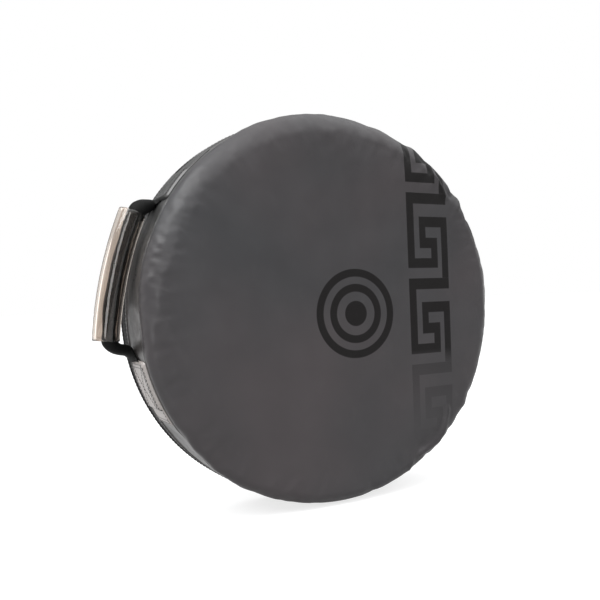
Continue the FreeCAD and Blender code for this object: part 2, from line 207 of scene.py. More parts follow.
# One turn of the angular key border: boxes (low x, high x, start, end), measured down from the turn's top.
KEY_TOP = 120.9
KEY_TURN = 93.2
KEY_BOXES = (
    (86.0, 140.0, 0.0, 12.0), (86.0, 95.2, 0.0, 82.0), (86.0, 125.8, 71.4, 82.0),
    (117.2, 125.8, 49.0, 82.0), (102.1, 125.8, 49.0, 60.4), (102.1, 110.5, 26.0, 60.4),
    (102.1, 140.0, 26.0, 37.4), (131.4, 140.0, 26.0, KEY_TURN + 1.0))
KEY_FADE = (-150.0, -64.0, -50.0)     # heights at which the print is gone, is faint, and is whole
KEY_FAINT = 0.4
TARGET_CENTRE = (18.0, -7.0)
TARGET_RINGS = ((42.0, 4.0), (26.5, 4.0), (6.5, 6.5))       # middle radius, half width
PRINT_EDGE = 0.35                     # half the width over which the print's edge softens
INK = (0.0025, 0.0017, 0.0017, 1.0)


def print_mask(surface):
    """1 on the printed border and on the ring target, 0 on bare vinyl."""
    math_node = surface.math

    def outside(value, middle, half):
        return math_node("SUBTRACT", math_node("ABSOLUTE", math_node("SUBTRACT", value, middle)), half)

    def printed(distances):
        least = distances[0]
        for distance in distances[1:]:
            least = math_node("MINIMUM", least, distance)
        return surface.remap(least, -PRINT_EDGE, PRINT_EDGE, 1.0, 0.0)

    x, _, z = surface.axes(surface.scaled((1 / MM, 1 / MM, 1 / MM)))
    down = math_node("FLOORED_MODULO", math_node("SUBTRACT", KEY_TOP, z), KEY_TURN)
    border = printed([math_node("MAXIMUM", outside(x, (low + high) / 2, (high - low) / 2),
                                outside(down, (start + end) / 2, (end - start) / 2))
                      for low, high, start, end in KEY_BOXES])
    gone, faint, whole = KEY_FADE
    border = math_node("MULTIPLY", border, surface.remap(z, gone, faint, 0.0, 1.0))
    border = math_node("MULTIPLY", border, surface.remap(z, faint, whole, KEY_FAINT, 1.0))
    squares = [math_node("POWER", math_node("SUBTRACT", value, centre), 2.0)
               for value, centre in zip((x, z), TARGET_CENTRE)]
    away = math_node("SQRT", math_node("ADD", *squares))
    return math_node("MAXIMUM", border, printed([outside(away, *ring) for ring in TARGET_RINGS]))


def vinyl(name, shade, roughness, gloss=0.5, printed=False):
    """Coated cloth: fine pebble grain, cloudy sheen, faint scuffs."""
    surface = Surface(name, Specular_IOR_Level=gloss)
    cool, warm = toned(shade, 0.96, 1.0, 1.03), toned(shade, 1.06, 0.98, 1.0)
    drift = surface.remap(surface.noise(5.0, 2.0), 0.35, 0.65)
    tone = surface.mix(surface.spread(surface.noise(9.0, 4.0)),
                       surface.mix(drift, toned(cool, 0.86), toned(warm, 0.86)),
                       surface.mix(drift, toned(cool, 1.12), toned(warm, 1.12)))
    scuff = surface.remap(surface.noise(60.0, 5.0, surface.scaled((1.0, 1.0, 0.7))), 0.6, 0.9, 0.0, 0.05)
    tone = surface.mix(scuff, tone, grey(0.16, 1.0, 0.97))
    rough = surface.spread(surface.noise(34.0, 4.0), roughness - 0.05, roughness + 0.07)
    if printed:
        mask = print_mask(surface)
        tone = surface.mix(mask, tone, INK)
        rough = surface.math("ADD", rough, surface.math("MULTIPLY", mask, 0.14))
        surface.bump(mask, 0.25, 0.00012)
    speck = surface.remap(surface.noise(240.0, 2.0), 0.35, 0.65, -0.03, 0.03)
    grain, fine_grain, sag = surface.cells(850.0), surface.noise(1500.0, 2.0), surface.noise(85.0, 3.0)
    return surface.finish(tone, surface.math("ADD", rough, speck), (grain, 0.16, 0.00025),
                          (fine_grain, 0.1, 0.00012), (sag, 0.15, 0.0009))


def webbing(name, shade, pitch=1.5):
    """Flat-woven tape: twill rows that run across it in chevrons, in the strap's own coordinates."""
    surface = Surface(name, Specular_IOR_Level=0.1)
    across, along, _ = surface.axes(surface.node("UVMap", uv_map="weave").outputs[0])
    zigzag = surface.math("PINGPONG", surface.math("ADD", across, 100.0), 4.75)
    slanted = surface.math("ADD", along, zigzag)
    rows = surface.math("SINE", surface.math("MULTIPLY", slanted, 2 * math.pi / pitch))
    warp = surface.math("SINE", surface.math("MULTIPLY", across, 2 * math.pi / 1.2))
    weave = surface.math("ADD", surface.math("MULTIPLY", rows, 0.6), surface.math("MULTIPLY", warp, 0.4))
    fluff = surface.noise(900.0, 3.0)
    tone = surface.mix(surface.remap(weave, -1.0, 1.0), toned(shade, 0.45), toned(shade, 1.3))
    tone = surface.mix(surface.remap(fluff, 0.6, 0.8, 0.0, 0.25), tone, grey(0.012))
    return surface.finish(tone, surface.remap(weave, -1.0, 1.0, 0.72, 0.5), (weave, 0.35, 0.0003),
                          (fluff, 0.08, 0.0002))


def foam(name, shade):
    surface = Surface(name, Specular_IOR_Level=0.25, Sheen_Weight=0.1)
    pores = surface.cells(700.0, "F1")
    return surface.finish(surface.mix(surface.remap(pores, 0.1, 0.6), toned(shade, 0.7), shade),
                          surface.spread(surface.noise(120.0), 0.82, 0.95), (pores, 0.5, 0.0006))


def clear_plastic(name):
    """Soft clear tube: faint warm tint, a little haze, drawn lines along it."""
    surface = Surface(name, Transmission_Weight=1.0, IOR=1.47, Specular_IOR_Level=0.5)
    haze = surface.noise(55.0, 4.0, surface.scaled((1.0, 1.0, 0.3)))
    lines = surface.noise(90.0, 2.0, surface.scaled((1.0, 1.0, 0.12)))
    return surface.finish(surface.mix(surface.spread(haze), (0.58, 0.52, 0.47, 1.0), (0.70, 0.63, 0.57, 1.0)),
                          surface.remap(haze, 0.3, 0.75, 0.0, 0.03), (lines, 0.3, 0.0005))


def thread(name, shade):
    surface = Surface(name, Sheen_Weight=0.3, Specular_IOR_Level=0.4)
    twist = surface.noise(1400.0, 2.0)
    return surface.finish(surface.mix(twist, toned(shade, 0.6), shade), surface.spread(twist, 0.45, 0.65),
                          (twist, 0.4, 0.0002))


def metal(name, shade, roughness):
    surface = Surface(name, Metallic=1.0)
    wear = surface.noise(180.0, 5.0)
    fine = surface.noise(900.0, 2.0, surface.scaled((1.0, 0.15, 1.0)))
    rough = surface.math("ADD", surface.spread(wear, roughness - 0.06, roughness + 0.12),
                         surface.spread(fine, -0.04, 0.04))
    return surface.finish(surface.mix(surface.remap(wear, 0.45, 0.7), shade, toned(shade, 0.6)), rough,
                          (fine, 0.15, 0.00008))


def moulded(name, shade):
    surface = Surface(name, Specular_IOR_Level=0.5)
    mottle = surface.noise(300.0, 3.0)
    return surface.finish(surface.mix(mottle, toned(shade, 0.7), shade), surface.spread(mottle, 0.3, 0.45),
                          (mottle, 0.15, 0.00015))


def pile(name, shade, scale, depth):
    """Hook or loop face of a fastening tape."""
    surface = Surface(name, Sheen_Weight=0.4, Specular_IOR_Level=0.3)
    tufts = surface.cells(scale, "F1")
    fluff = surface.noise(scale * 2.0, 3.0)
    return surface.finish(surface.mix(surface.remap(tufts, 0.0, 0.7), shade, toned(shade, 0.25)),
                          surface.spread(fluff, 0.75, 0.95), (tufts, 0.8, -depth), (fluff, 0.4, depth / 2))


def air_mesh(name, shade):
    """Spacer knit: a grid of small open cells."""
    surface = Surface(name, Sheen_Weight=0.3, Specular_IOR_Level=0.3)
    open_cell = surface.remap(surface.cells(330.0), 0.05, 0.22, smooth=True)
    yarn = surface.noise(1300.0, 2.0)
    return surface.finish(surface.mix(open_cell, shade, toned(shade, 0.2)), surface.spread(yarn, 0.7, 0.9),
                          (open_cell, 0.7, -0.0007), (yarn, 0.3, 0.0002))


FACE = vinyl("face_vinyl", grey(0.037, 1.05, 1.02), 0.38, gloss=0.23, printed=True)
SIDE = vinyl("side_vinyl", grey(0.036, 1.05, 0.95), 0.32)
BACK = vinyl("back_vinyl", grey(0.030, 1.01, 1.02), 0.45)
# Vinyl of the lower side patch: the side vinyl made lighter and warmer, painted light for the light that
# falls on the lower left of the side wall.
PAINTED_LIGHT_PATCH = vinyl("patch_vinyl_painted_light", grey(0.27, 1.05, 0.93), 0.34)
STRAP = webbing("webbing", grey(0.005))
TAPE = webbing("zip_tape", grey(0.008), 0.9)
EDGING = webbing("edge_binding", grey(0.010), 1.1)
FIRM = foam("firm_foam", grey(0.045))
SOFT = foam("soft_foam", grey(0.32, 1.02, 0.94))
CLEAR = clear_plastic("clear_sleeve")
THREAD = thread("thread", grey(0.045))
STEEL = metal("ring_steel", grey(0.55), 0.24)
ZINC = metal("zip_metal", grey(0.16), 0.32)
NYLON = moulded("zip_plastic", grey(0.018))
HOOKS = pile("hook_face", grey(0.02), 900.0, 0.0005)
LOOPS = pile("loop_face", grey(0.025), 620.0, 0.0004)
KNIT = air_mesh("air_mesh", grey(0.022))


# ------------------------------------------------------------------ mesh helpers
def new_piece(name, points, faces, material):
    mesh = bpy.data.meshes.new(name)
    mesh.from_pydata((np.asarray(points, float) * MM).tolist(), [], [list(map(int, f)) for f in faces])
    mesh.materials.append(material)
    mesh.polygons.foreach_set("use_smooth", [True] * len(mesh.polygons))
    piece = bpy.data.objects.new(name, mesh)
    scene.collection.objects.link(piece)
    return piece


def outward_faces(piece):
    """Turns the faces of a closed mesh outward."""
    work = bmesh.new()
    work.from_mesh(piece.data)
    bmesh.ops.recalc_face_normals(work, faces=work.faces)
    work.to_mesh(piece.data)
    work.free()
    return piece


def grid_faces(rows, columns, wrap=False, start=0):
    faces = []
    for i in range(rows - 1):
        for j in range(columns if wrap else columns - 1):
            k = (j + 1) % columns
            faces.append((start + i * columns + j, start + i * columns + k,
                          start + (i + 1) * columns + k, start + (i + 1) * columns + j))
    return faces


def loft(name, rings, material, closed=False):
    """Skin over rings of points, each ring a closed loop; the ends are capped unless the rings close up."""
    rings = [np.asarray(r, float) for r in rings]
    count = len(rings[0])
    points = np.concatenate(rings)
    faces = grid_faces(len(rings), count, wrap=True)
    if closed:
        last = (len(rings) - 1) * count
        for j in range(count):
            k = (j + 1) % count
            faces.append((last + j, last + k, k, j))
    else:
        faces.append(list(range(count)))
        faces.append([len(points) - count + j for j in range(count)])
    return outward_faces(new_piece(name, points, faces, material))


def settle(piece, body, slot, *nodes):
    """The piece rides on its body and stands for these CAD nodes, which are hidden; slot is not used."""
    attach(piece, body)
    if nodes:
        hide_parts(*nodes)
    return piece


def dress(node, material):
    """A CAD node that is shown as it is gets its material."""
    node.data.materials.clear()
    node.data.materials.append(material)


def unit(vector):
    return vector / np.linalg.norm(vector)


def eased(share):
    """A share from 0 to 1, with a soft start and end."""
    return share * share * (3 - 2 * share)


def run_of(path):
    """Distance along a path at each of its points."""
    return np.concatenate([[0], np.cumsum(np.linalg.norm(np.diff(path, axis=0), axis=1))])


def rim(radius, y, degrees):
    a = np.radians(degrees)
    return np.array([radius * math.cos(a), y, radius * math.sin(a)])


def smooth_path(points, step):
    """Points along a Catmull-Rom curve through these, about step apart."""
    p = [np.asarray(q, float) for q in points]
    p = [2 * p[0] - p[1]] + p + [2 * p[-1] - p[-2]]
    out = []
    for a, b, c, d in zip(p, p[1:], p[2:], p[3:]):
        count = max(1, int(round(np.linalg.norm(c - b) / step)))
        for i in range(count):
            t = i / count
            m0, m1 = (c - a) / 2, (d - b) / 2
            out.append((2 * t**3 - 3 * t**2 + 1) * b + (t**3 - 2 * t**2 + t) * m0
                       + (-2 * t**3 + 3 * t**2) * c + (t**3 - t**2) * m1)
    out.append(p[-2])
    return np.array(out)


def tangents(path):
    d = np.gradient(path, axis=0)
    return d / np.linalg.norm(d, axis=1)[:, None]


def strap(name, path, across, width, thick, material, curl=None, press=None, sway=0.0, columns=15):
    """Webbing along a path. across is its width direction; curl 0 is flat and 1 is rolled into a tube.
    press is the share of its height that a gathered strap keeps where it is pressed flat.
    The strap's own coordinates, in mm across and along it, are kept for its weave."""
    path = np.asarray(path, float)
    across = np.asarray(across, float)
    along = tangents(path)
    length = run_of(path)
    s = np.linspace(-width / 2, width / 2, columns)
    rings, uv = [], []
    for i, (p, t) in enumerate(zip(path, along)):
        up = unit(np.cross(t, across))
        side = np.cross(up, t)
        bend = max(1e-3, (0.0 if curl is None else float(curl[i])) * math.radians(322.0))
        radius = width / bend
        angle = s / radius
        centroid = math.sin(bend / 2) / (bend / 2)
        u = radius * np.sin(angle)
        n = radius * (np.cos(angle) - centroid) * (1.0 if press is None else float(press[i]))
        n = n + sway * np.sin(length[i] / 9.0 + s / 7.0) * math.sin(math.pi * min(1.0, i / (len(path) - 1)))
        nu, nn = np.sin(angle), np.cos(angle)
        half = thick / 2
        outer, inner = ([(a + h * b, c + h * d) for a, b, c, d in zip(u, nu, n, nn)] for h in (half, -half))
        lip_high, lip_low = ((u[k] + lip * nn[k], n[k] - lip * nu[k])
                             for k, lip in ((-1, half * 0.8), (0, -half * 0.8)))
        loop = outer + [lip_high] + inner[::-1] + [lip_low]
        rings.append([p + side * a + up * b for a, b in loop])
        uv.append([(q, length[i]) for q in list(s) + [s[-1] + 1] + list(s[::-1]) + [s[0] - 1]])
    piece = loft(name, rings, material)
    flat = np.array(uv).reshape(-1, 2)
    layer = piece.data.uv_layers.new(name="weave")
    index = np.zeros(len(piece.data.loops), np.int64)
    piece.data.loops.foreach_get("vertex_index", index)
    layer.data.foreach_set("uv", flat[index].astype(np.float32).ravel())
    return piece


def seeds_mesh(name, places, material, length, radius):
    """Many small rounded bars, such as stitches: places are (middle, direction, up)."""
    profile = ((-1.0, 0.25), (-0.86, 0.75), (-0.4, 1.0), (0.4, 1.0), (0.86, 0.75), (1.0, 0.25))
    sides = 6
    points, faces = [], []
    for middle, direction, up in places:
        direction = unit(direction)
        side = unit(np.cross(direction, up))
        top = np.cross(side, direction)
        start = len(points)
        for t, r in profile:
            for j in range(sides):
                a = 2 * math.pi * j / sides
                points.append(middle + direction * (t * length / 2)
                              + (side * math.cos(a) + top * math.sin(a)) * radius * r)
        faces += grid_faces(len(profile), sides, wrap=True, start=start)
        faces.append([start + j for j in range(sides)][::-1])
        faces.append([start + (len(profile) - 1) * sides + j for j in range(sides)])
    return outward_faces(new_piece(name, points, faces, material))


def stitch_places(path, normals, pitch, wander=0.12):
    """Evenly spaced places along a path for stitches, a little uneven as sewing is."""
    path = np.asarray(path, float)
    normals = np.asarray(normals, float)
    length = run_of(path)
    places = []
    for k in range(int(length[-1] / pitch)):
        at = (k + 0.5) * pitch
        wanted = ((path, at), (normals, at), (path, min(at + 0.5, length[-1])), (path, max(at - 0.5, 0.0)))
        p, n, ahead, behind = (np.array([np.interp(where, length, values[:, i]) for i in range(3)])
                               for values, where in wanted)
        d = ahead - behind
        side = unit(np.cross(d, n))
        places.append((p + side * draw.uniform(-wander, wander), d + side * draw.uniform(-0.05, 0.05), n))
    return places


# ------------------------------------------------------------------ the cover
FACE_RINGS = 42
COLUMNS = 6 * FACE_RINGS
ROUND_PATH = FLAT_RADIUS + FACE_ROUND * math.pi / 2       # distance from the face's middle, along the skin
WALL_ROWS = (16.0, 20.0, 24.0, 28.2, 32.3, 36.4, 40.5, 44.6, 48.7, 52.8, 57.0, 61.0, 63.0, 65.0, 66.0,
             69.0, 71.5, 74.0, 76.5, 79.0, 81.0)
BACK_FLAT = PAD_RADIUS - BACK_CORNER


def wall_path(y):
    return ROUND_PATH + y - FACE_ROUND


CORNER_START = wall_path(STRIP_END)
SOFT_END = wall_path(32.3)
DOME = 2.2                  # how far the face falls away at the rim
DOME_START = 125.0          # radius at which it starts to fall
# Where the rim is rounded more broadly and more tightly: angle, reach, fade (degrees) and change of radius.
BROAD_MIDDLE, BROAD_REACH, BROAD_FADE, BROAD_EXTRA = 118.0, 74.0, 34.0, 10.0
TIGHT_MIDDLE, TIGHT_REACH, TIGHT_FADE, TIGHT_LESS = 212.0, 40.0, 20.0, 4.5
BACK_START = CORNER_START + BACK_CORNER * math.pi / 2


def skin_path(point):
    """Distance along the skin from the face's middle, of a point on the plain cover."""
    r, y = math.hypot(point[0], point[2]), point[1]
    if y > STRIP_END:
        if r > BACK_FLAT:
            return CORNER_START + BACK_CORNER * math.atan2(y - STRIP_END, r - BACK_FLAT)
        return BACK_START + BACK_FLAT - r
    if y > FACE_ROUND:
        return wall_path(y)
    if r > FLAT_RADIUS:
        return FLAT_RADIUS + FACE_ROUND * math.atan2(r - FLAT_RADIUS, FACE_ROUND - y)
    return r


def cover_mesh():
    """The whole cover as one closed mesh: rings of triangles on face and back, square rows on the wall."""
    points, rings = [np.zeros(3)], [[0]]

    def add_ring(radius, y, count):
        rings.append(list(range(len(points), len(points) + count)))
        points.extend(rim(radius, y, 360.0 * j / count) for j in range(count))

    for k in range(1, FACE_RINGS + 1):
        add_ring(FLAT_RADIUS * k / FACE_RINGS, 0.0, 6 * k)
    for k in range(1, 6):
        a = math.radians(18.0 * k)
        add_ring(FLAT_RADIUS + FACE_ROUND * math.sin(a), FACE_ROUND * (1 - math.cos(a)), COLUMNS)
    for y in WALL_ROWS:
        add_ring(PAD_RADIUS, y, COLUMNS)
    for b in (math.radians(30.0), math.radians(60.0), math.radians(90.0)):
        add_ring(BACK_FLAT + BACK_CORNER * math.cos(b), STRIP_END + BACK_CORNER * math.sin(b), COLUMNS)
    for k in range(FACE_RINGS - 1, 0, -1):
        add_ring(BACK_FLAT * k / FACE_RINGS, PAD_DEPTH, 6 * k)
    rings.append([len(points)])
    points.append(np.array([0.0, PAD_DEPTH, 0.0]))

    faces = []
    for a, b in zip(rings, rings[1:]):
        if len(a) == len(b):
            for j in range(len(a)):
                k = (j + 1) % len(a)
                faces.append((a[j], b[j], b[k], a[k]))
            continue
        inner, outer, flip = (a, b, False) if len(a) < len(b) else (b, a, True)
        step = len(outer) // 6
        for sextant in range(6):
            for i in range(step):
                o0, o1 = outer[sextant * step + i], outer[(sextant * step + i + 1) % len(outer)]
                i0 = inner[(sextant * (step - 1) + i) % len(inner)]
                face = (i0, o0, o1)
                faces.append(face[::-1] if flip else face)
                if i < step - 1:
                    i1 = inner[(sextant * (step - 1) + i + 1) % len(inner)]
                    face = (i0, o1, i1)
                    faces.append(face[::-1] if flip else face)
    return np.array(points), faces


def rounding(theta):
    """Radius of the cover's rounding: broad from the top round to the handle, tight below the handle."""
    broad = np.clip((BROAD_REACH - np.abs(turned(theta, BROAD_MIDDLE))) / BROAD_FADE, 0, 1)
    tight = np.clip((TIGHT_REACH - np.abs(turned(theta, TIGHT_MIDDLE))) / TIGHT_FADE, 0, 1)
    return FACE_ROUND + BROAD_EXTRA * eased(broad) - TIGHT_LESS * eased(tight)


def soft_rim(points, theta, path):
    """The plain cover with its face falling away a little towards the rim, and the rim rounded broadly."""
    radius = rounding(theta)
    shorter = (radius - FACE_ROUND) * (2 - math.pi / 2)
    s = path - shorter * np.clip((path - DOME_START) / (SOFT_END - DOME_START), 0, 1)
    flat = PAD_RADIUS - radius
    turn = np.clip((s - flat) / radius, 0, math.pi / 2)
    r = np.minimum(s, flat) + radius * np.sin(turn)
    y = radius * (1 - np.cos(turn)) + np.maximum(0.0, s - flat - radius * math.pi / 2)
    fall = np.clip((r - DOME_START) / (PAD_RADIUS - DOME_START), 0, 1) ** 2
    y = y + DOME * fall * np.clip(1 - y / (SOFT_END - ROUND_PATH), 0, 1)
    a = np.radians(theta)
    soft = np.stack([r * np.cos(a), y, r * np.sin(a)], axis=1)
    return np.where((path < SOFT_END)[:, None], soft, points)


def window(value, low, high, soft):
    """1 between low and high, falling to 0 over soft outside them."""
    return (np.clip((value - low) / soft + 1, 0, 1) * np.clip((high - value) / soft + 1, 0, 1)) ** 2


def turned(degrees, at):
    return (degrees - at + 180.0) % 360.0 - 180.0


def free_share(theta, path, points):
    """0 where the cover is held: under patches, at seams and along the zip; 1 where it can wrinkle."""
    y = points[:, 1]
    on_wall = window(path, wall_path(17.0), wall_path(STRIP_END), 4.0)
    beside_handle = window(y, 17.0, 63.0, 3.0)
    held = window(turned(theta, 138.0), -11.5, 11.5, 5.0) * beside_handle * on_wall
    held = np.maximum(held, window(turned(theta, 201.0), -12.5, 11.5, 4.0) * beside_handle * on_wall)
    held = np.maximum(held, window(path, wall_path(60.5), CORNER_START + 30.0, 5.0))
    back = (path > BACK_START).astype(float)
    x, z = points[:, 0], np.abs(points[:, 2])
    held = np.maximum(held, back * window(x, -97.0, -43.0, 8.0) * window(z, 82.0, 120.0, 8.0))
    held = np.maximum(held, back * window(x, 42.0, 108.0, 8.0) * window(z, 88.0, 139.0, 8.0))
    resting = window(turned(theta, 270.0), -7.0, 7.0, 12.0) * window(path, 196.0, BACK_START, 6.0)
    held = np.maximum(held, resting * 0.85)
    return 1 - held


PUCKER = 0.75               # height of the fine gathers along the rim
PUCKER_MIDDLE = 160.0       # angle at which they are strongest
# Folds of the cover: angle and path of the middle, half length along the path, half width, height, skew.
FOLDS = [(draw.uniform(0, 360), draw.uniform(192, 226), draw.uniform(9, 24), draw.uniform(3.2, 8.0),
          draw.uniform(-0.5, 0.55), draw.uniform(-0.8, 0.8)) for _ in range(90)]

# Creases of the cover, as ridges between two places: angle, path, angle, path, half width, height.
CREASES = (
    (48.5, 190.5, 39.5, 182.5, 2.7, 1.7), (49.0, 196.0, 38.5, 189.5, 3.0, -1.3),
    (60.0, 204.0, 56.5, 199.0, 5.0, 2.4), (62.5, 192.0, 59.0, 183.0, 3.2, -1.3),
    (57.5, 200.0, 49.5, 187.5, 2.6, -1.2), (36.0, 206.0, 33.5, 187.0, 4.2, 1.8),
    (40.0, 206.0, 38.0, 190.0, 4.0, -1.3), (30.0, 207.0, 27.5, 193.0, 4.0, -0.9),
    (319.0, 176.0, 310.5, 192.0, 2.9, 2.0), (315.5, 176.0, 309.0, 187.0, 3.0, -1.1),
    (309.0, 194.0, 299.5, 187.5, 3.0, 2.2), (309.5, 184.0, 300.5, 180.0, 4.0, -1.2),
    (296.5, 186.0, 294.0, 199.0, 2.6, 1.5), (325.0, 208.0, 323.5, 190.0, 5.0, 1.3),
    (328.5, 208.0, 328.0, 192.0, 3.6, -0.9), (314.0, 208.0, 314.0, 195.0, 4.0, -1.2),
    (303.0, 207.0, 302.0, 196.0, 3.5, -0.9), (281.0, 206.0, 279.0, 186.0, 5.0, -1.4),
    (276.5, 206.0, 275.5, 190.0, 4.0, 1.2), (178.0, 186.0, 190.0, 166.0, 3.2, 0.5),
    (182.0, 190.0, 194.5, 168.0, 3.4, -0.5), (181.0, 178.0, 199.0, 160.0, 3.0, 0.4),
    (190.5, 184.0, 200.0, 172.0, 3.0, 0.45), (176.0, 180.0, 184.0, 158.0, 3.2, -0.35))


def crease(theta, path, start_angle, start_path, end_angle, end_path, width, height):
    """Relief of one crease, tapering off beyond its ends."""
    around = np.radians(turned(theta, start_angle)) * PAD_RADIUS
    end = np.array([math.radians(end_angle - start_angle) * PAD_RADIUS, end_path - start_path])
    length = np.linalg.norm(end)
    along = (around * end[0] + (path - start_path) * end[1]) / length
    off = (around * end[1] - (path - start_path) * end[0]) / length
    beyond = np.maximum(0.0, np.abs(along - length / 2) - length / 2 + width)
    return height * np.exp(-(off / width) ** 2 - (beyond / (1.6 * width)) ** 2)


def relief(theta, path):
    """How far the cover stands out from its plain shape, in mm, from waviness and folds."""
    a = np.radians(theta)
    shape = np.zeros(len(theta))
    for wave, height, shift in ((62.0, 1.15, 3.1), (27.0, 0.55, 9.4), (13.0, 0.22, 17.2)):
        turn = np.minimum(np.minimum(path, FLAT_RADIUS), BACK_START + BACK_FLAT - path)
        down = np.clip(path - FLAT_RADIUS, 0, 110)
        where = np.stack([turn * np.cos(a), down, turn * np.sin(a)], axis=1) / wave
        shape += height * np.array([noise.noise(Vector(w) + Vector((shift, shift, shift))) for w in where])
    calm = 0.3 + 0.7 * np.clip((path - 120.0) / 70.0, 0, 1) ** 2
    shape *= calm
    for at, middle, length, width, height, skew in FOLDS:
        off = np.radians(turned(theta, at)) * PAD_RADIUS + skew * (path - middle)
        shape += height * np.exp(-(off / width) ** 2) * np.exp(-((path - middle) / length) ** 4)
    for line in CREASES:
        shape += crease(theta, path, *line)
    zone = np.flatnonzero((path > 164.0) & (path < 232.0))
    around = np.stack([np.cos(a), np.sin(a)], axis=1)[zone] * PAD_RADIUS
    gathers = np.array([noise.noise(Vector((x / 5.0, p / 8.5, z / 5.0)))
                        for (x, z), p in zip(around, path[zone])])
    near = 0.25 + 0.75 * window(turned(theta[zone], PUCKER_MIDDLE), -14.0, 14.0, 14.0)
    shape[zone] += PUCKER * gathers * near * window(path[zone], 182.0, 210.0, 16.0)
    return shape


CLOTH_FRAMES = 20
CLOTH_PRESSURE = 4.0
CLOTH_SLACK = 0.03          # how much larger the cloth is cut than its shape, where it is free


def evaluated(piece):
    """Points, faces and normals of a piece after its modifiers. The piece itself is removed."""
    seen = piece.evaluated_get(bpy.context.evaluated_depsgraph_get()).to_mesh()
    result = (np.array([v.co for v in seen.vertices]) / MM, [tuple(p.vertices) for p in seen.polygons],
              np.array([v.normal for v in seen.vertices]))
    mesh = piece.data
    bpy.data.objects.remove(piece)
    bpy.data.meshes.remove(mesh)
    return result


def cloth_points(name, points, faces, held, slack):
    """The points of a closed mesh after a cloth simulation under inner pressure, held where held is 1.
    slack is how much larger the cloth is cut than its shape, for each point."""
    piece = new_piece(name, points, faces, SIDE)
    pins = piece.vertex_groups.new(name="held")
    tight = piece.vertex_groups.new(name="tight")
    most = max(1e-6, float(np.max(slack)))
    for i in range(len(points)):
        if held[i] > 0:
            pins.add([i], float(held[i]), "REPLACE")
        tight.add([i], float(1 - slack[i] / most), "REPLACE")
    cloth = piece.modifiers.new("cloth", "CLOTH").settings
    cloth.quality = 5
    cloth.mass = 0.3
    cloth.tension_stiffness = cloth.compression_stiffness = 15
    cloth.shear_stiffness = 5
    cloth.bending_stiffness = 0.5
    cloth.use_pressure = True
    cloth.uniform_pressure_force = CLOTH_PRESSURE
    cloth.vertex_group_mass = "held"
    cloth.vertex_group_shrink = "tight"
    cloth.shrink_min = -most
    cloth.shrink_max = 0.0
    cloth.effector_weights.gravity = 0
    for number in range(1, CLOTH_FRAMES + 1):
        scene.frame_set(number)
    result = evaluated(piece)[0]
    scene.frame_set(1)
    return result


def subdivided(points, faces):
    """Points, faces and normals of the mesh after one level of subdivision."""
    piece = new_piece("rough", points, faces, SIDE)
    piece.modifiers.new("finer", "SUBSURF").levels = 1
    return evaluated(piece)


def angles_of(points):
    """Degrees round the pad's axis, from +X towards +Z."""
    return np.degrees(np.arctan2(points[:, 2], points[:, 0])) % 360.0


def capped(move, most_out, most_in, outward):
    """Movement with its outward part kept between -most_in and most_out."""
    along = np.sum(move * outward, axis=1)
    return move + outward * (np.clip(along, -most_in, most_out) - along)[:, None]


plain, plain_faces = cover_mesh()
fine, fine_faces, fine_normals = subdivided(plain, plain_faces)
path = np.array([skin_path(p) for p in fine])
theta = angles_of(fine)
moved = np.zeros_like(fine)
free = free_share(theta, path, fine)
RING_STEP = 3.0             # width of the rings over which the simulated swelling is averaged


def wrinkles(move, low, high):
    """The outward part of a movement without its average round each ring, softly limited, in mm."""
    out = np.sum(move * fine_normals, axis=1)
    bins = np.clip((path / RING_STEP).astype(int), 0, None)
    mean = np.bincount(bins, out * free) / np.maximum(1e-6, np.bincount(bins, free))
    at = (np.arange(len(mean)) + 0.5) * RING_STEP
    out = out - np.interp(path, at, np.convolve(mean, np.ones(3) / 3, mode="same"))
    return np.where(out > 0, high * np.tanh(out / high), low * np.tanh(out / low))


rough_path = np.array([skin_path(p) for p in plain])
rough_free = free_share(angles_of(plain), rough_path, plain)
near_rim = window(rough_path, 170.0, wall_path(60.0), 20.0)
held = (rough_free < 0.35) | (rough_path < 150.0)
blown = cloth_points("cover_cloth", plain, plain_faces, np.where(held, 1.0, 0.0),
                     CLOTH_SLACK * near_rim)
blown, _, _ = subdivided(blown, plain_faces)
share = (0.1 + 0.4 * window(path, 178.0, wall_path(58.0), 24.0)) * free
out = wrinkles(blown - fine, 1.0, 1.3)
moved = fine_normals * (out * share)[:, None]
cover = soft_rim(fine, theta, path) + moved + fine_normals * (relief(theta, path) * free)[:, None]
quads = np.array(fine_faces)
face_path = path[quads].mean(axis=1)
face_y = fine[quads, 1].mean(axis=1)
face_angle = angles_of(fine[quads].mean(axis=1))


def cover_piece(name, chosen, material):
    """The chosen faces of the cover, as a skin of real thickness."""
    used, index = np.unique(quads[chosen], return_inverse=True)
    piece = new_piece(name, cover[used], index.reshape(-1, 4), material)
    thick = piece.modifiers.new("thickness", "SOLIDIFY")
    thick.thickness = SKIN * MM
    thick.offset = -1.0
    return piece


in_window = ((ZIP_WINDOW[0] < face_y) & (face_y < ZIP_WINDOW[1]) & (ZIP_ANGLES[0] < face_angle)
             & (face_angle < ZIP_ANGLES[1]))
before_wall, before_strip = face_path < wall_path(SEAM_Y), face_path < wall_path(WALL_END)
in_strip = ~before_strip & (face_path < CORNER_START) & ~in_window
for name, chosen, material, slot, node, fill in (
        ("face_cover", before_wall, FACE, "face_vinyl", "front_cover", 0.9),
        ("side_wall", ~before_wall & before_strip, SIDE, "side_vinyl", "side_gusset", 0.85),
        ("rear_band", in_strip, BACK, "back_vinyl", "rear_strip", 0.9),
        ("back_cover", face_path > CORNER_START, BACK, "back_vinyl", "back_panel", 0.9)):
    settle(cover_piece(name, chosen, material), "pad", slot, node)


# ------------------------------------------------------------------ seams, binding and zip round the wall
def wall_relief(angles, y):
    """How far the cover stands out on the wall at this y; nothing where y is None."""
    if y is None:
        return np.zeros(len(angles))
    theta, path = np.asarray(angles) % 360.0, np.full(len(angles), wall_path(y))
    return relief(theta, path) * free_share(theta, path, np.array([rim(PAD_RADIUS, y, a) for a in angles]))


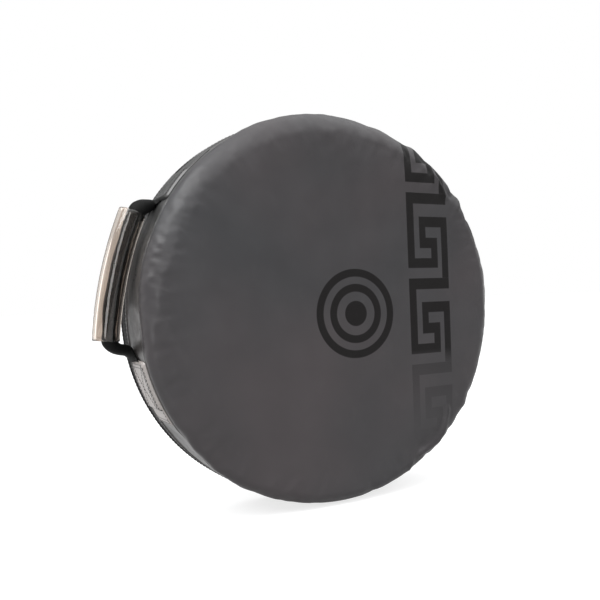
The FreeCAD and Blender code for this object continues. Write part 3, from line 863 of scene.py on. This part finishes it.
def rim_strip(name, section, angles, material, follow=None, full=False):
    """A closed section of (radius, y) carried round the rim; follow is the y whose relief it follows."""
    lifts = wall_relief(angles, follow)
    rings = [[rim(r + lift, y, a) for r, y in section] for a, lift in zip(angles, lifts)]
    return loft(name, rings, material, closed=full)


LAP_MIDDLE = 63.0
STITCH_RADIUS = 200.95
round_angles = np.arange(0, 360, 1.0)
lap = ((199.3, 60.7), (200.3, 60.8), (200.85, 61.3), (201.0, 62.2), (200.9, 63.0), (201.0, 63.9),
       (200.8, 64.8), (200.2, 65.3), (199.3, 65.4))
settle(rim_strip("lap_seam", lap, round_angles, SIDE, LAP_MIDDLE, full=True), "pad", "side_vinyl",
       "gusset_lap_seam")
edge = ((199.6, 80.7), (200.5, 80.6), (200.9, 81.3), (200.95, 82.6), (200.6, 84.0), (199.7, 85.2),
        (198.4, 85.9), (197.0, 86.0), (196.2, 85.7), (196.2, 85.0), (197.4, 84.6), (198.8, 83.6),
        (199.4, 82.2))
settle(rim_strip("rim_binding", edge, round_angles, EDGING, full=True), "pad", "webbing", "back_binding")


def rim_stitches(name, y, pitch, follow=None):
    angles = np.arange(0, 361, 2.0)
    line = [rim(STITCH_RADIUS + lift, y, a) for a, lift in zip(angles, wall_relief(angles, follow))]
    outward = [rim(1.0, 0.0, a) for a in angles]
    settle(seeds_mesh(name, stitch_places(line, outward, pitch), THREAD, 3.0, 0.42), "pad", "webbing")


rim_stitches("lap_stitches", LAP_MIDDLE, 4.4, follow=LAP_MIDDLE)
rim_stitches("binding_stitches", 82.0, 4.0)

zip_angles = np.arange(ZIP_ANGLES[0] + 0.2, ZIP_ANGLES[1] - 0.1, 0.8)
for name, low, high, node in (("zip_tape_a", 68.4, 72.7, "zip_tape_front"),
                              ("zip_tape_b", 75.3, 79.6, "zip_tape_rear")):
    section = ((198.75, low), (198.75, high), (199.0, high + 0.1), (199.45, high), (199.5, (low + high) / 2),
               (199.45, low), (199.0, low - 0.1))
    settle(rim_strip(name, section, zip_angles, TAPE), "pad", "webbing", node)
teeth = []
for k, a in enumerate(np.arange(61.6, 248.5, 0.43)):
    turn = 1.0 if k % 2 else -1.0
    leaning = Y_AXIS + rim(1.0, 0.0, a + 90.0) * turn * 0.16
    teeth.append((rim(199.55, sum(COIL_Y) / 2 + turn * 0.22, a), leaning, rim(1.0, 0.0, a)))
settle(seeds_mesh("zip_teeth", teeth, NYLON, 2.9, 0.72), "pad", "zip_plastic", "zip_coil")
for node in ("zip_end_stops", "zip_slider", "zip_pull"):
    dress(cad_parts[node], ZINC)


# ------------------------------------------------------------------ foam inside the cover
def foam_disc(name, radius, start, end, material, slot, node, rounding=2.5):
    """A disc of foam with soft edges, a little smaller than the CAD layer it stands for."""
    columns = 96
    quarter = [(rounding * math.sin(a), rounding * math.cos(a)) for a in (0.0, 0.52, 1.05, 1.57)]
    inner = radius - rounding
    profile = [(radius * k / 9, start) for k in range(1, 9)]
    profile += [(inner + sine, start + rounding - cosine) for sine, cosine in quarter]
    profile += [(inner + cosine, end - rounding + sine) for sine, cosine in quarter]
    profile += [(radius * k / 9, end) for k in range(8, 0, -1)]
    rings = [[rim(r, y, 360.0 * j / columns) for j in range(columns)] for r, y in profile]
    settle(loft(name, rings, material), "pad", slot, node)


foam_disc("strike_layer", 182.0, 5.2, 15.7, FIRM, "firm_foam", "strike_foam", 5.2)
foam_disc("front_core_layer", 195.2, 16.3, 45.7, SOFT, "soft_foam", "core_foam_front")
foam_disc("rear_core_layer", 195.2, 46.3, 73.2, SOFT, "soft_foam", "core_foam_rear")
foam_disc("backing_layer", 193.0, 73.8, 81.4, FIRM, "firm_foam", "backing_foam")


# ------------------------------------------------------------------ sleeves
def sleeve(name, axis_points, across, node, body):
    """A clear tube round an axis, its cut ends rounded, slightly oval as soft tube is."""
    axis = np.asarray(axis_points, float)
    along = tangents(axis)
    last = len(axis) - 1
    middle = (SLEEVE_OUTER + SLEEVE_INNER) / 2
    half = (SLEEVE_OUTER - SLEEVE_INNER) / 2
    lips = [(half * 0.7 * math.sin(a), half * math.cos(a)) for a in np.radians((30, 60, 90, 120, 150))]
    rows = [(i, 0.0, SLEEVE_OUTER) for i in range(last + 1)]
    rows += [(last, push, middle + off) for push, off in lips]
    rows += [(i, 0.0, SLEEVE_INNER) for i in range(last, -1, -1)]
    rows += [(0, -push, middle - off) for push, off in lips]
    turn = [2 * math.pi * j / 48 for j in range(48)]
    rings = []
    for i, push, radius in rows:
        up = unit(np.cross(along[i], across))
        side = np.cross(up, along[i])
        rings.append([axis[i] + along[i] * push
                      + (up * math.cos(a) + side * math.sin(a)) * radius * (1 + 0.012 * math.cos(2 * a + 0.7))
                      for a in turn])
    return settle(loft(name, rings, CLEAR, closed=True), body, "clear_sleeve", node)


BOW = 4.5


def bowed(low, high, outward, shift=0.0):
    """Points from low to high, bowed outward, and shifted along outward."""
    t = np.linspace(0, 1, 41)[:, None]
    return low + (high - low) * t + outward * (4 * BOW * t * (1 - t) + shift)


SIDE_LOW = rim(225.5, HANDLE_Y, 185.3)
SIDE_HIGH = rim(218.4, HANDLE_Y, 154.0)
chord = unit(SIDE_HIGH - SIDE_LOW)
SIDE_OUT = np.array([-chord[2], 0.0, chord[0]])
sleeve("side_grip_sleeve", bowed(SIDE_LOW, SIDE_HIGH, SIDE_OUT), Y_AXIS, "side_sleeve", "side_handle")
GRIP_LOW = np.array([GRIP_X, 125.0, -60.0])
GRIP_HIGH = np.array([GRIP_X, 125.0, 60.0])
sleeve("rear_grip_sleeve", bowed(GRIP_LOW, GRIP_HIGH, Y_AXIS), X_AXIS, "grip_sleeve", "rear_grip")


# ------------------------------------------------------------------ webbing of the two handles
def bend(piece, base, body, start, end, *nodes):
    """Webbing with its placement baked into its mesh; it stands for these CAD nodes, which are hidden. base,
    body, start and end are not used.
    """
    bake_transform(piece)
    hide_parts(*nodes)


def handle_half(name, keys, across, body, start, end, *nodes, sway=0.0):
    """Half a handle's webbing. keys are (x, y, z, curl, press) from its sewn end to the sleeve's middle."""
    line = smooth_path(keys, 1.6)
    piece = strap(name, line[:, :3], across, WEB_WIDTH, WEB, STRAP, curl=np.clip(line[:, 3], 0, 1),
                  press=line[:, 4], sway=sway)
    bend(piece, "pad", body, start, end, *nodes)


def wall_keys(angles, gathers, free):
    """Keys of a side strap: flat on the wall, gathered beside it, then free; places free of the wall are
    (x, y past the handle's middle, z, curl, press)."""
    keys = [(*rim(wall, HANDLE_Y, a), 0.0, 1.0) for a in angles]
    keys += [(*rim(wall + lift, HANDLE_Y + y, a), curl, press) for lift, y, a, curl, press in gathers]
    return keys + [(x, HANDLE_Y + y, z, curl, press) for x, y, z, curl, press in free]


ROLL_PRESS = 0.82
roll = bowed(SIDE_LOW, SIDE_HIGH, SIDE_OUT, -1.0)
wall = PAD_RADIUS + WEB / 2 + 0.1
upper_keys = wall_keys(
    (137.5, 139.0, 140.5),
    ((0.0, 3.0, 143.0, 0.25, 0.2), (0.5, 8.5, 145.6, 0.6, 0.12), (0.9, 12.0, 147.2, 0.75, 0.16)),
    ((-172.2, 14.0, 108.1, 0.8, 0.45), (-176.6, 13.5, 106.4, 0.8, 0.66), (-181.8, 9.5, 104.6, 0.81, 0.84),
     (-187.6, 3.5, 102.0, 0.87, 0.96), (-192.0, 0.0, 98.4, 0.96, 1.0)))
upper_keys += [(*point, 1.0, ROLL_PRESS) for point in roll[20:39][::-1]]
handle_half("side_strap_upper", upper_keys, -Y_AXIS, "side_handle", rim(wall, HANDLE_Y, 147.0), SIDE_HIGH,
            "side_webbing_end_upper", "side_webbing_leg_upper", "side_webbing_roll", sway=0.7)
lower_keys = wall_keys(
    (206.0, 203.0, 200.0, 198.5),
    ((0.0, 3.0, 196.2, 0.25, 0.2), (0.5, 8.5, 193.6, 0.6, 0.12), (0.9, 12.0, 192.1, 0.75, 0.16)),
    ((-201.6, 14.0, -35.6, 0.8, 0.4), (-205.6, 13.0, -32.7, 0.8, 0.52), (-211.0, 10.0, -31.0, 0.8, 0.56),
     (-216.8, 5.5, -28.7, 0.84, 0.66), (-221.0, 1.5, -25.1, 0.92, 0.86), (-222.9, 0.0, -21.0, 0.98, 1.0)))
lower_keys += [(*point, 1.0, ROLL_PRESS) for point in roll[2:21]]
handle_half("side_strap_lower", lower_keys, Y_AXIS, "side_handle", rim(wall, HANDLE_Y, 191.0), SIDE_LOW,
            "side_webbing_end_lower", "side_webbing_leg_lower", sway=1.1)

roll = bowed(GRIP_LOW, GRIP_HIGH, Y_AXIS, -1.0)
flat_y = PAD_DEPTH + WEB / 2 + 0.1
for name, sign in (("upper", 1.0), ("lower", -1.0)):
    keys = [(GRIP_X, flat_y, sign * z, 0.0, 1.0) for z in (112.0, 106.0, 100.0, 94.0, 88.0, 84.5)]
    keys += [(GRIP_X, 88.6, sign * 80.6, 0.08, 1.0), (GRIP_X, 96.0, sign * 76.6, 0.3, 0.8),
             (GRIP_X, 106.0, sign * 74.2, 0.55, 0.7), (GRIP_X, 115.5, sign * 71.0, 0.8, 0.8),
             (GRIP_X, 121.2, sign * 65.5, 0.95, 1.0)]
    keys += [(*point, 1.0, ROLL_PRESS) for point in (roll[20:39][::-1] if sign > 0 else roll[2:21])]
    nodes = [f"grip_webbing_end_{name}", f"grip_webbing_leg_{name}"]
    nodes += ["grip_webbing_roll"] if sign > 0 else []
    start, end = np.array([GRIP_X, 87.0, sign * 83.0]), np.array([GRIP_X, 122.0, sign * 64.0])
    handle_half(f"rear_strap_{name}", keys, -sign * X_AXIS, "rear_grip", start, end, *nodes)


# ------------------------------------------------------------------ sewn patches
PATCH_STEP = 1.6


def patch(name, place, half_u, half_v, height, material, slot, node, corner=5.0):
    """A sewn patch with rounded corners. place(u, v, h) gives a point; height(u, v) its thickness there."""
    rows = int(2 * half_v / PATCH_STEP) | 1
    columns = int(2 * half_u / PATCH_STEP) | 1
    top, bottom = [], []
    for i in range(rows):
        v = -half_v + 2 * half_v * i / (rows - 1)
        over = max(0.0, abs(v) - (half_v - corner))
        width = half_u - corner + math.sqrt(max(0.0, corner**2 - over**2))
        for j in range(columns):
            u = width * (-1 + 2 * j / (columns - 1))
            edge = min(width - abs(u), half_v - abs(v))
            shoulder = 1 - max(0.0, 1 - edge / 2.6) ** 2 * 0.75
            top.append(place(u, v, height(u, v) * shoulder))
            bottom.append(place(u, v, 0.0))
    count = rows * columns
    faces = grid_faces(rows, columns) + [f[::-1] for f in grid_faces(rows, columns, start=count)]
    border = [j for j in range(columns)] + [i * columns + columns - 1 for i in range(1, rows)]
    border += [(rows - 1) * columns + j for j in range(columns - 2, -1, -1)]
    border += [i * columns for i in range(rows - 2, 0, -1)]
    for a, b in zip(border, border[1:] + border[:1]):
        faces.append((a, b, count + b, count + a))
    settle(outward_faces(new_piece(name, top + bottom, faces, material)), "pad", slot, node)


def patch_stitches(name, place, height, lines):
    """Stitch lines on a patch: each line is a list of (u, v) corners."""
    places = []
    for line in lines:
        dense = []
        for (u0, v0), (u1, v1) in zip(line, line[1:]):
            count = max(2, int(math.hypot(u1 - u0, v1 - v0) / 1.5))
            dense += [(u0 + (u1 - u0) * k / count, v0 + (v1 - v0) * k / count) for k in range(count)]
        dense.append(line[-1])
        on = [np.asarray(place(u, v, height(u, v) + 0.02)) for u, v in dense]
        over = [np.asarray(place(u, v, height(u, v) + 1.0)) for u, v in dense]
        places += stitch_places(on, np.array(over) - np.array(on), 3.6, 0.08)
    settle(seeds_mesh(name, places, THREAD, 2.7, 0.36), "pad", "webbing")


def loop_line(half_u, half_v):
    return [(-half_u, -half_v), (half_u, -half_v), (half_u, half_v), (-half_u, half_v), (-half_u, -half_v)]


def raised(along, start, tall=WEB, under=WEB_WIDTH):
    """Patch thickness that rises by tall over webbing of this width, which lies under it beyond start."""
    def height(u, v):
        over = np.clip((under / 2 + 1.2 - abs(u)) / 1.8, 0, 1) * np.clip((v * along - start) / 2.5, 0, 1)
        return PATCH + tall * float(eased(over))
    return height


def wall_patch(name, angles, strap_end, strap_above, material, node):
    """A patch on the side wall; u runs across the wall and v round it, in mm."""
    middle = sum(angles) / 2
    half_v = math.radians(angles[1] - angles[0]) * PAD_RADIUS / 2

    def place(u, v, h):
        return rim(PAD_RADIUS + 0.05 + h, HANDLE_Y + u, middle + math.degrees(v / PAD_RADIUS))
    side = 1.0 if strap_above else -1.0
    start = side * math.radians(strap_end - middle) * PAD_RADIUS
    height = raised(side, start, WEB + 0.7)
    patch(name, place, 21.0, half_v, height, material, "side_vinyl", node, corner=3.5)
    inner = half_v - 2.6
    cross = start * side
    lines = [loop_line(18.6, inner), [(-18.6, inner - 3.2), (18.6, inner - 3.2)],
             [(-18.6, -inner + 3.2), (18.6, -inner + 3.2)]]
    sewn = [(-15.5, cross), (15.5, inner * side), (15.5, cross), (-15.5, inner * side), (-15.5, cross),
            (15.5, cross)]
    patch_stitches(name + "_stitches", place, height, lines + [sewn])


wall_patch("upper_side_patch", (128.5, 147.5), 137.0, True, SIDE, "side_patch_upper")
# The lower patch takes the lighter vinyl, painted light where the side wall is lit at the lower left; the
# upper patch keeps the side vinyl.
wall_patch("lower_side_patch", (192.0, 211.0), 206.0, False, PAINTED_LIGHT_PATCH, "side_patch_lower")


def back_patch(name, x, half_u, z, half_v, height, node, lines):
    def place(u, v, h):
        return np.array([x + u, PAD_DEPTH + 0.05 + h, z + v])
    patch(name, place, half_u, half_v, height, BACK, "back_vinyl", node)
    patch_stitches(name + "_stitches", place, height, lines)


def box_cross(half_u, half_v):
    return loop_line(half_u, half_v) + [(half_u, half_v), (half_u, -half_v), (-half_u, half_v)]


for name, sign in (("upper", 1.0), ("lower", -1.0)):
    back_patch(f"rear_patch_{name}", GRIP_X, 25.0, sign * 104.0, 14.0, raised(-sign, -8.0),
               f"grip_patch_{name}", [loop_line(22.6, 11.6), box_cross(16.0, 8.0)])


# ------------------------------------------------------------------ forearm strap
def arch(radius, degrees, x=ARM_X):
    a = math.radians(degrees)
    return np.array([x, ARCH_Y + radius * math.cos(a), radius * math.sin(a)])


def arm_piece(name, points, width=ARM_WIDTH, thick=ARM_WEB, material=STRAP):
    return strap(name, smooth_path(points, 2.2), -X_AXIS, width, thick, material, columns=17)


MIDDLE = ARCH_RADIUS + ARM_WEB / 2
TAIL = 97.25                # radius of the folded-back tail's middle
back_web = PAD_DEPTH + ARM_WEB / 2 + 0.05
ARM_FOOT = np.array([ARM_X, 88.0, 91.5])
upper = [np.array([ARM_X, back_web, z]) for z in (130.0, 122.0, 114.0, 106.0, 99.0)]
upper += [np.array([ARM_X, back_web + 0.7, 94.0])]
upper += [arch(MIDDLE, a) for a in (74.0, 68.0, 62.0, 55.0, 48.0, 40.0, 32.0, 24.0, 16.0, 8.0, 0.0)]
bend(arm_piece("arm_strap_upper", upper), "pad", "arm_strap", ARM_FOOT, arch(MIDDLE, 50.0), "arm_webbing_end",
     "arm_webbing_leg_upper", "arm_webbing")

BAR_ANGLE = -68.9           # place of the ring's bars on the arch
BAR = arch(95.2, BAR_ANGLE)
bar_out = arch(1.0, BAR_ANGLE, 0.0) - arch(0.0, 0.0, 0.0)
bar_down = np.array([0.0, -0.933, -0.360])
lower = [arch(MIDDLE, a) for a in (0.0, -8.0, -16.0, -24.0, -32.0, -40.0, -48.0, -55.0, -61.0)]
lower += [arch(92.7, -65.5)]
lower += [BAR + (bar_out * math.cos(a) + bar_down * math.sin(a)) * 3.0
          for a in (math.pi, 2.55, 1.96, 1.37, 0.78, 0.2)]
lower += [arch(97.9, -66.0), arch(97.4, -62.0)] + [arch(TAIL, a) for a in (-57.0, -52.5, -49.0)]
bend(arm_piece("arm_strap_lower", lower), "pad", "arm_strap", BAR, arch(95.0, -50.0), "arm_webbing_leg_lower")

tail = [arch(TAIL, a) for a in (-49.0, -45.0, -40.0, -33.0, -26.0, -19.0, -12.0, -6.0)]
tail += [arch(97.4, -2.0), arch(97.9, 1.0)]
bend(arm_piece("arm_strap_tail", tail), "arm_strap", "arm_tail", arch(TAIL, -49.0), arch(TAIL, -43.0),
     "arm_tail")

for name, radius, angles, body, node, material in (
        ("loop_face_tape", 94.55, (-46.5, -5.0), "arm_strap", "loop_tape", LOOPS),
        ("hook_face_tape", 95.85, (-43.0, -8.0), "arm_tail", "hook_tape", HOOKS)):
    line = [arch(radius, a) for a in np.linspace(*angles, 12)]
    settle(arm_piece(name, line, 46.0, 1.0, material), body, "hook_and_loop", node)

dress(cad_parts["arm_ring"], STEEL)

LOW_BAR = BAR + bar_down * 12.0
keeper = [np.array([ARM_X, 85.95, z]) for z in (-130.0, -122.0, -114.0, -106.0, -100.0)]
keeper += [np.array([ARM_X, 86.6, -96.5])]
keeper += [LOW_BAR + np.array([0.0, math.cos(a), math.sin(a)]) * 3.1 for a in (3.6, 2.8, 2.0, 1.2, 0.4, -0.4)]
keeper += [np.array([ARM_X, 91.5, -98.4]), np.array([ARM_X, 88.6, -102.5])]
keeper += [np.array([ARM_X, 87.7, z]) for z in (-107.0, -114.0, -122.0, -130.0)]
line = smooth_path(keeper, 1.6)
settle(strap("ring_loop", line, X_AXIS, 48.0, WEB, STRAP), "pad", "webbing", "ring_keeper")

arm_lines = [loop_line(28.4, 17.4), box_cross(21.5, 13.0)] + [[(-21.5, v), (21.5, v)] for v in (16.0, -16.0)]
for name, node, sign, tall in (("arm_patch_top", "arm_patch_upper", 1.0, 1.9),
                               ("arm_patch_bottom", "arm_patch_lower", -1.0, 3.3)):
    back_patch(name, ARM_X, 31.0, sign * 117.0, 20.0, raised(-sign, -13.5, tall, ARM_WIDTH), node, arm_lines)


def arm_cushion():
    """Padded underside of the arch: a crowned cushion with sewn channels across it and along its edges."""
    rows, sides = 64, 44
    half_angle, half_width, half_height, middle = 41.4, 29.0, 3.9, 87.3
    round_end = 0.86            # share of the half length at which the ends start to round off
    rings = []
    for i in range(rows):
        s = -1 + 2 * i / (rows - 1)
        end = (1 - min(1.0, max(0.0, (abs(s) - round_end) / 0.14)) ** 2) ** 0.5
        ring = []
        for j in range(sides):
            a = 2 * math.pi * j / sides
            c, d = math.cos(a), math.sin(a)
            u = half_width * math.copysign(abs(c) ** 0.42, c) * (0.84 + 0.16 * end)
            n = half_height * math.copysign(abs(d) ** 0.62, d) * max(0.12, end)
            ring.append(arch(middle + n, half_angle * s, ARM_X + u))
        rings.append(ring)
    points = np.concatenate([np.array(r) for r in rings])
    faces = grid_faces(rows, sides, wrap=True)
    faces += [list(range(sides)), [len(points) - sides + j for j in range(sides)]]
    shape = outward_faces(new_piece("rough_cushion", points, faces, KNIT))
    normals = np.array([v.normal for v in shape.data.vertices])
    faces = [tuple(p.vertices) for p in shape.data.polygons]
    bpy.data.objects.remove(shape)
    out = points.copy()
    radial = np.hypot(points[:, 1] - ARCH_Y, points[:, 2])
    held = np.where(radial > 90.6, 1.0, 0.0)
    blown = cloth_points("cushion_cloth", points, faces, held, np.full(len(points), CLOTH_SLACK))
    out = points + capped(blown - points, 1.3, 0.6, normals)
    fine_points, fine_cushion, normals = subdivided(out, faces)
    angle = np.degrees(np.arctan2(fine_points[:, 2], fine_points[:, 1] - ARCH_Y))
    inner = np.clip((89.0 - np.hypot(fine_points[:, 1] - ARCH_Y, fine_points[:, 2])) / 3.0, 0, 1)
    groove = sum(np.exp(-((angle - at) / 1.1) ** 2) for at in (-24.0, -8.0, 8.0, 24.0))
    edge = np.abs(fine_points[:, 0] - ARM_X)
    groove = np.maximum(groove, np.exp(-((edge - 24.5) / 1.2) ** 2) * (np.abs(angle) < 38.5))
    fine_points = fine_points - normals * (inner * groove * 1.7)[:, None]
    return new_piece("arm_cushion", fine_points, fine_cushion, KNIT)


settle(arm_cushion(), "arm_strap", "pad_fabric", "arm_pad")


# ------------------------------------------------------------------ floor, light and camera
FLOOR = -0.2026             # metres, just under the pad
FLOOR_HALF = 30.0           # metres


def pale_floor():
    surface = Surface("pale_floor", Roughness=0.9, Specular_IOR_Level=0.1)
    surface.set("Base Color", surface.mix(surface.noise(3.0), grey(0.30), grey(0.32)))
    surface.set("Emission Color", grey(1.0))
    surface.set("Emission Strength", surface.remap(surface.straight(), 0.0, 1.0, 0.32, 0.75))
    mesh = bpy.data.meshes.new("floor")
    corners = [(x * FLOOR_HALF, y * FLOOR_HALF, FLOOR) for x, y in ((-1, -1), (1, -1), (1, 1), (-1, 1))]
    mesh.from_pydata(corners, [], [(0, 1, 2, 3)])
    mesh.materials.append(surface.material)
    plane = bpy.data.objects.new("floor", mesh)
    scene.collection.objects.link(plane)
    return plane


pale_floor()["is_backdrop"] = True


def soft_light(name, place, aim, width, height, power):
    """A lamp with a wide face; places and sizes in metres, power in watts."""
    lamp = bpy.data.lights.new(name, "AREA")
    lamp.shape = "RECTANGLE"
    lamp.size, lamp.size_y, lamp.energy = width, height, power
    piece = bpy.data.objects.new(name, lamp)
    scene.collection.objects.link(piece)
    piece.location = place
    piece.rotation_mode = "QUATERNION"
    piece.rotation_quaternion = (Vector(aim) - Vector(place)).to_track_quat("-Z", "Y")
    piece.visible_camera = False


soft_light("top_box", (-0.95, -0.45, 1.1), (0.0, 0.0, 0.0), 1.0, 1.0, 20.0)
soft_light("front_box", (-0.72, -1.45, 0.32), (-0.2, 0.04, 0.03), 0.5, 0.7, 4.5)
soft_light("left_box", (-1.6, 0.8, 0.1), (0.0, 0.05, 0.0), 1.6, 1.2, 7.0)
soft_light("right_low", (1.25, 0.1, 0.05), (0.14, 0.0, -0.12), 0.7, 0.4, 1.5)


def studio_world(dim, bright, low, high):
    """White to the camera, also through the clear sleeves. As light it is bright overhead, dim near the
    horizon between two heights, and dimmer behind the object."""
    scene.world = bpy.data.worlds.new("studio")
    scene.world.use_nodes = True
    world = Nodes(scene.world.node_tree, "Generated")
    lighting = world.nodes["Background"]
    lighting.inputs["Color"].default_value = (0.98, 0.99, 1.0, 1.0)
    _, depth, height = world.axes(world.place)
    strength = world.math("MULTIPLY", world.remap(height, low, high, dim, bright, smooth=True),
                          world.remap(depth, -0.1, 0.6, 1.0, 0.3))
    world.feed(lighting.inputs["Strength"], strength)
    seen = world.node("Background", grey(1.0))
    both = world.node("MixShader", world.straight(), lighting.outputs[0], seen.outputs[0])
    world.feed(world.nodes["World Output"].inputs[0], both.outputs[0])


studio_world(0.15, 2.9, 0.12, 0.85)
scene.view_settings.view_transform = "Standard"

CAMERA_YAW, CAMERA_PITCH, CAMERA_ROLL = (math.radians(a) for a in (-29.75, 0.68, -2.2))
CAMERA_AWAY = 0.725         # metres
back = Vector((math.sin(CAMERA_YAW) * math.cos(CAMERA_PITCH), -math.cos(CAMERA_YAW) * math.cos(CAMERA_PITCH),
               math.sin(CAMERA_PITCH)))
level = Vector((math.cos(CAMERA_YAW), math.sin(CAMERA_YAW), 0.0))
upright = back.cross(level)
right = level * math.cos(CAMERA_ROLL) + upright * math.sin(CAMERA_ROLL)
up = upright * math.cos(CAMERA_ROLL) - level * math.sin(CAMERA_ROLL)
lens = bpy.data.cameras.new("camera")
for setting, value in (("sensor_width", 36.0), ("lens", 42.72), ("shift_x", -0.0678), ("shift_y", 0.0122),
                       ("clip_start", 0.01)):
    setattr(lens, setting, value)
camera = bpy.data.objects.new("camera", lens)
scene.collection.objects.link(camera)
camera.matrix_world = Matrix.Translation(back * CAMERA_AWAY) @ Matrix((right, up, back)).transposed().to_4x4()
scene.camera = camera

[[list(corner) for corner in box] for box in (cad_box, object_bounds())]
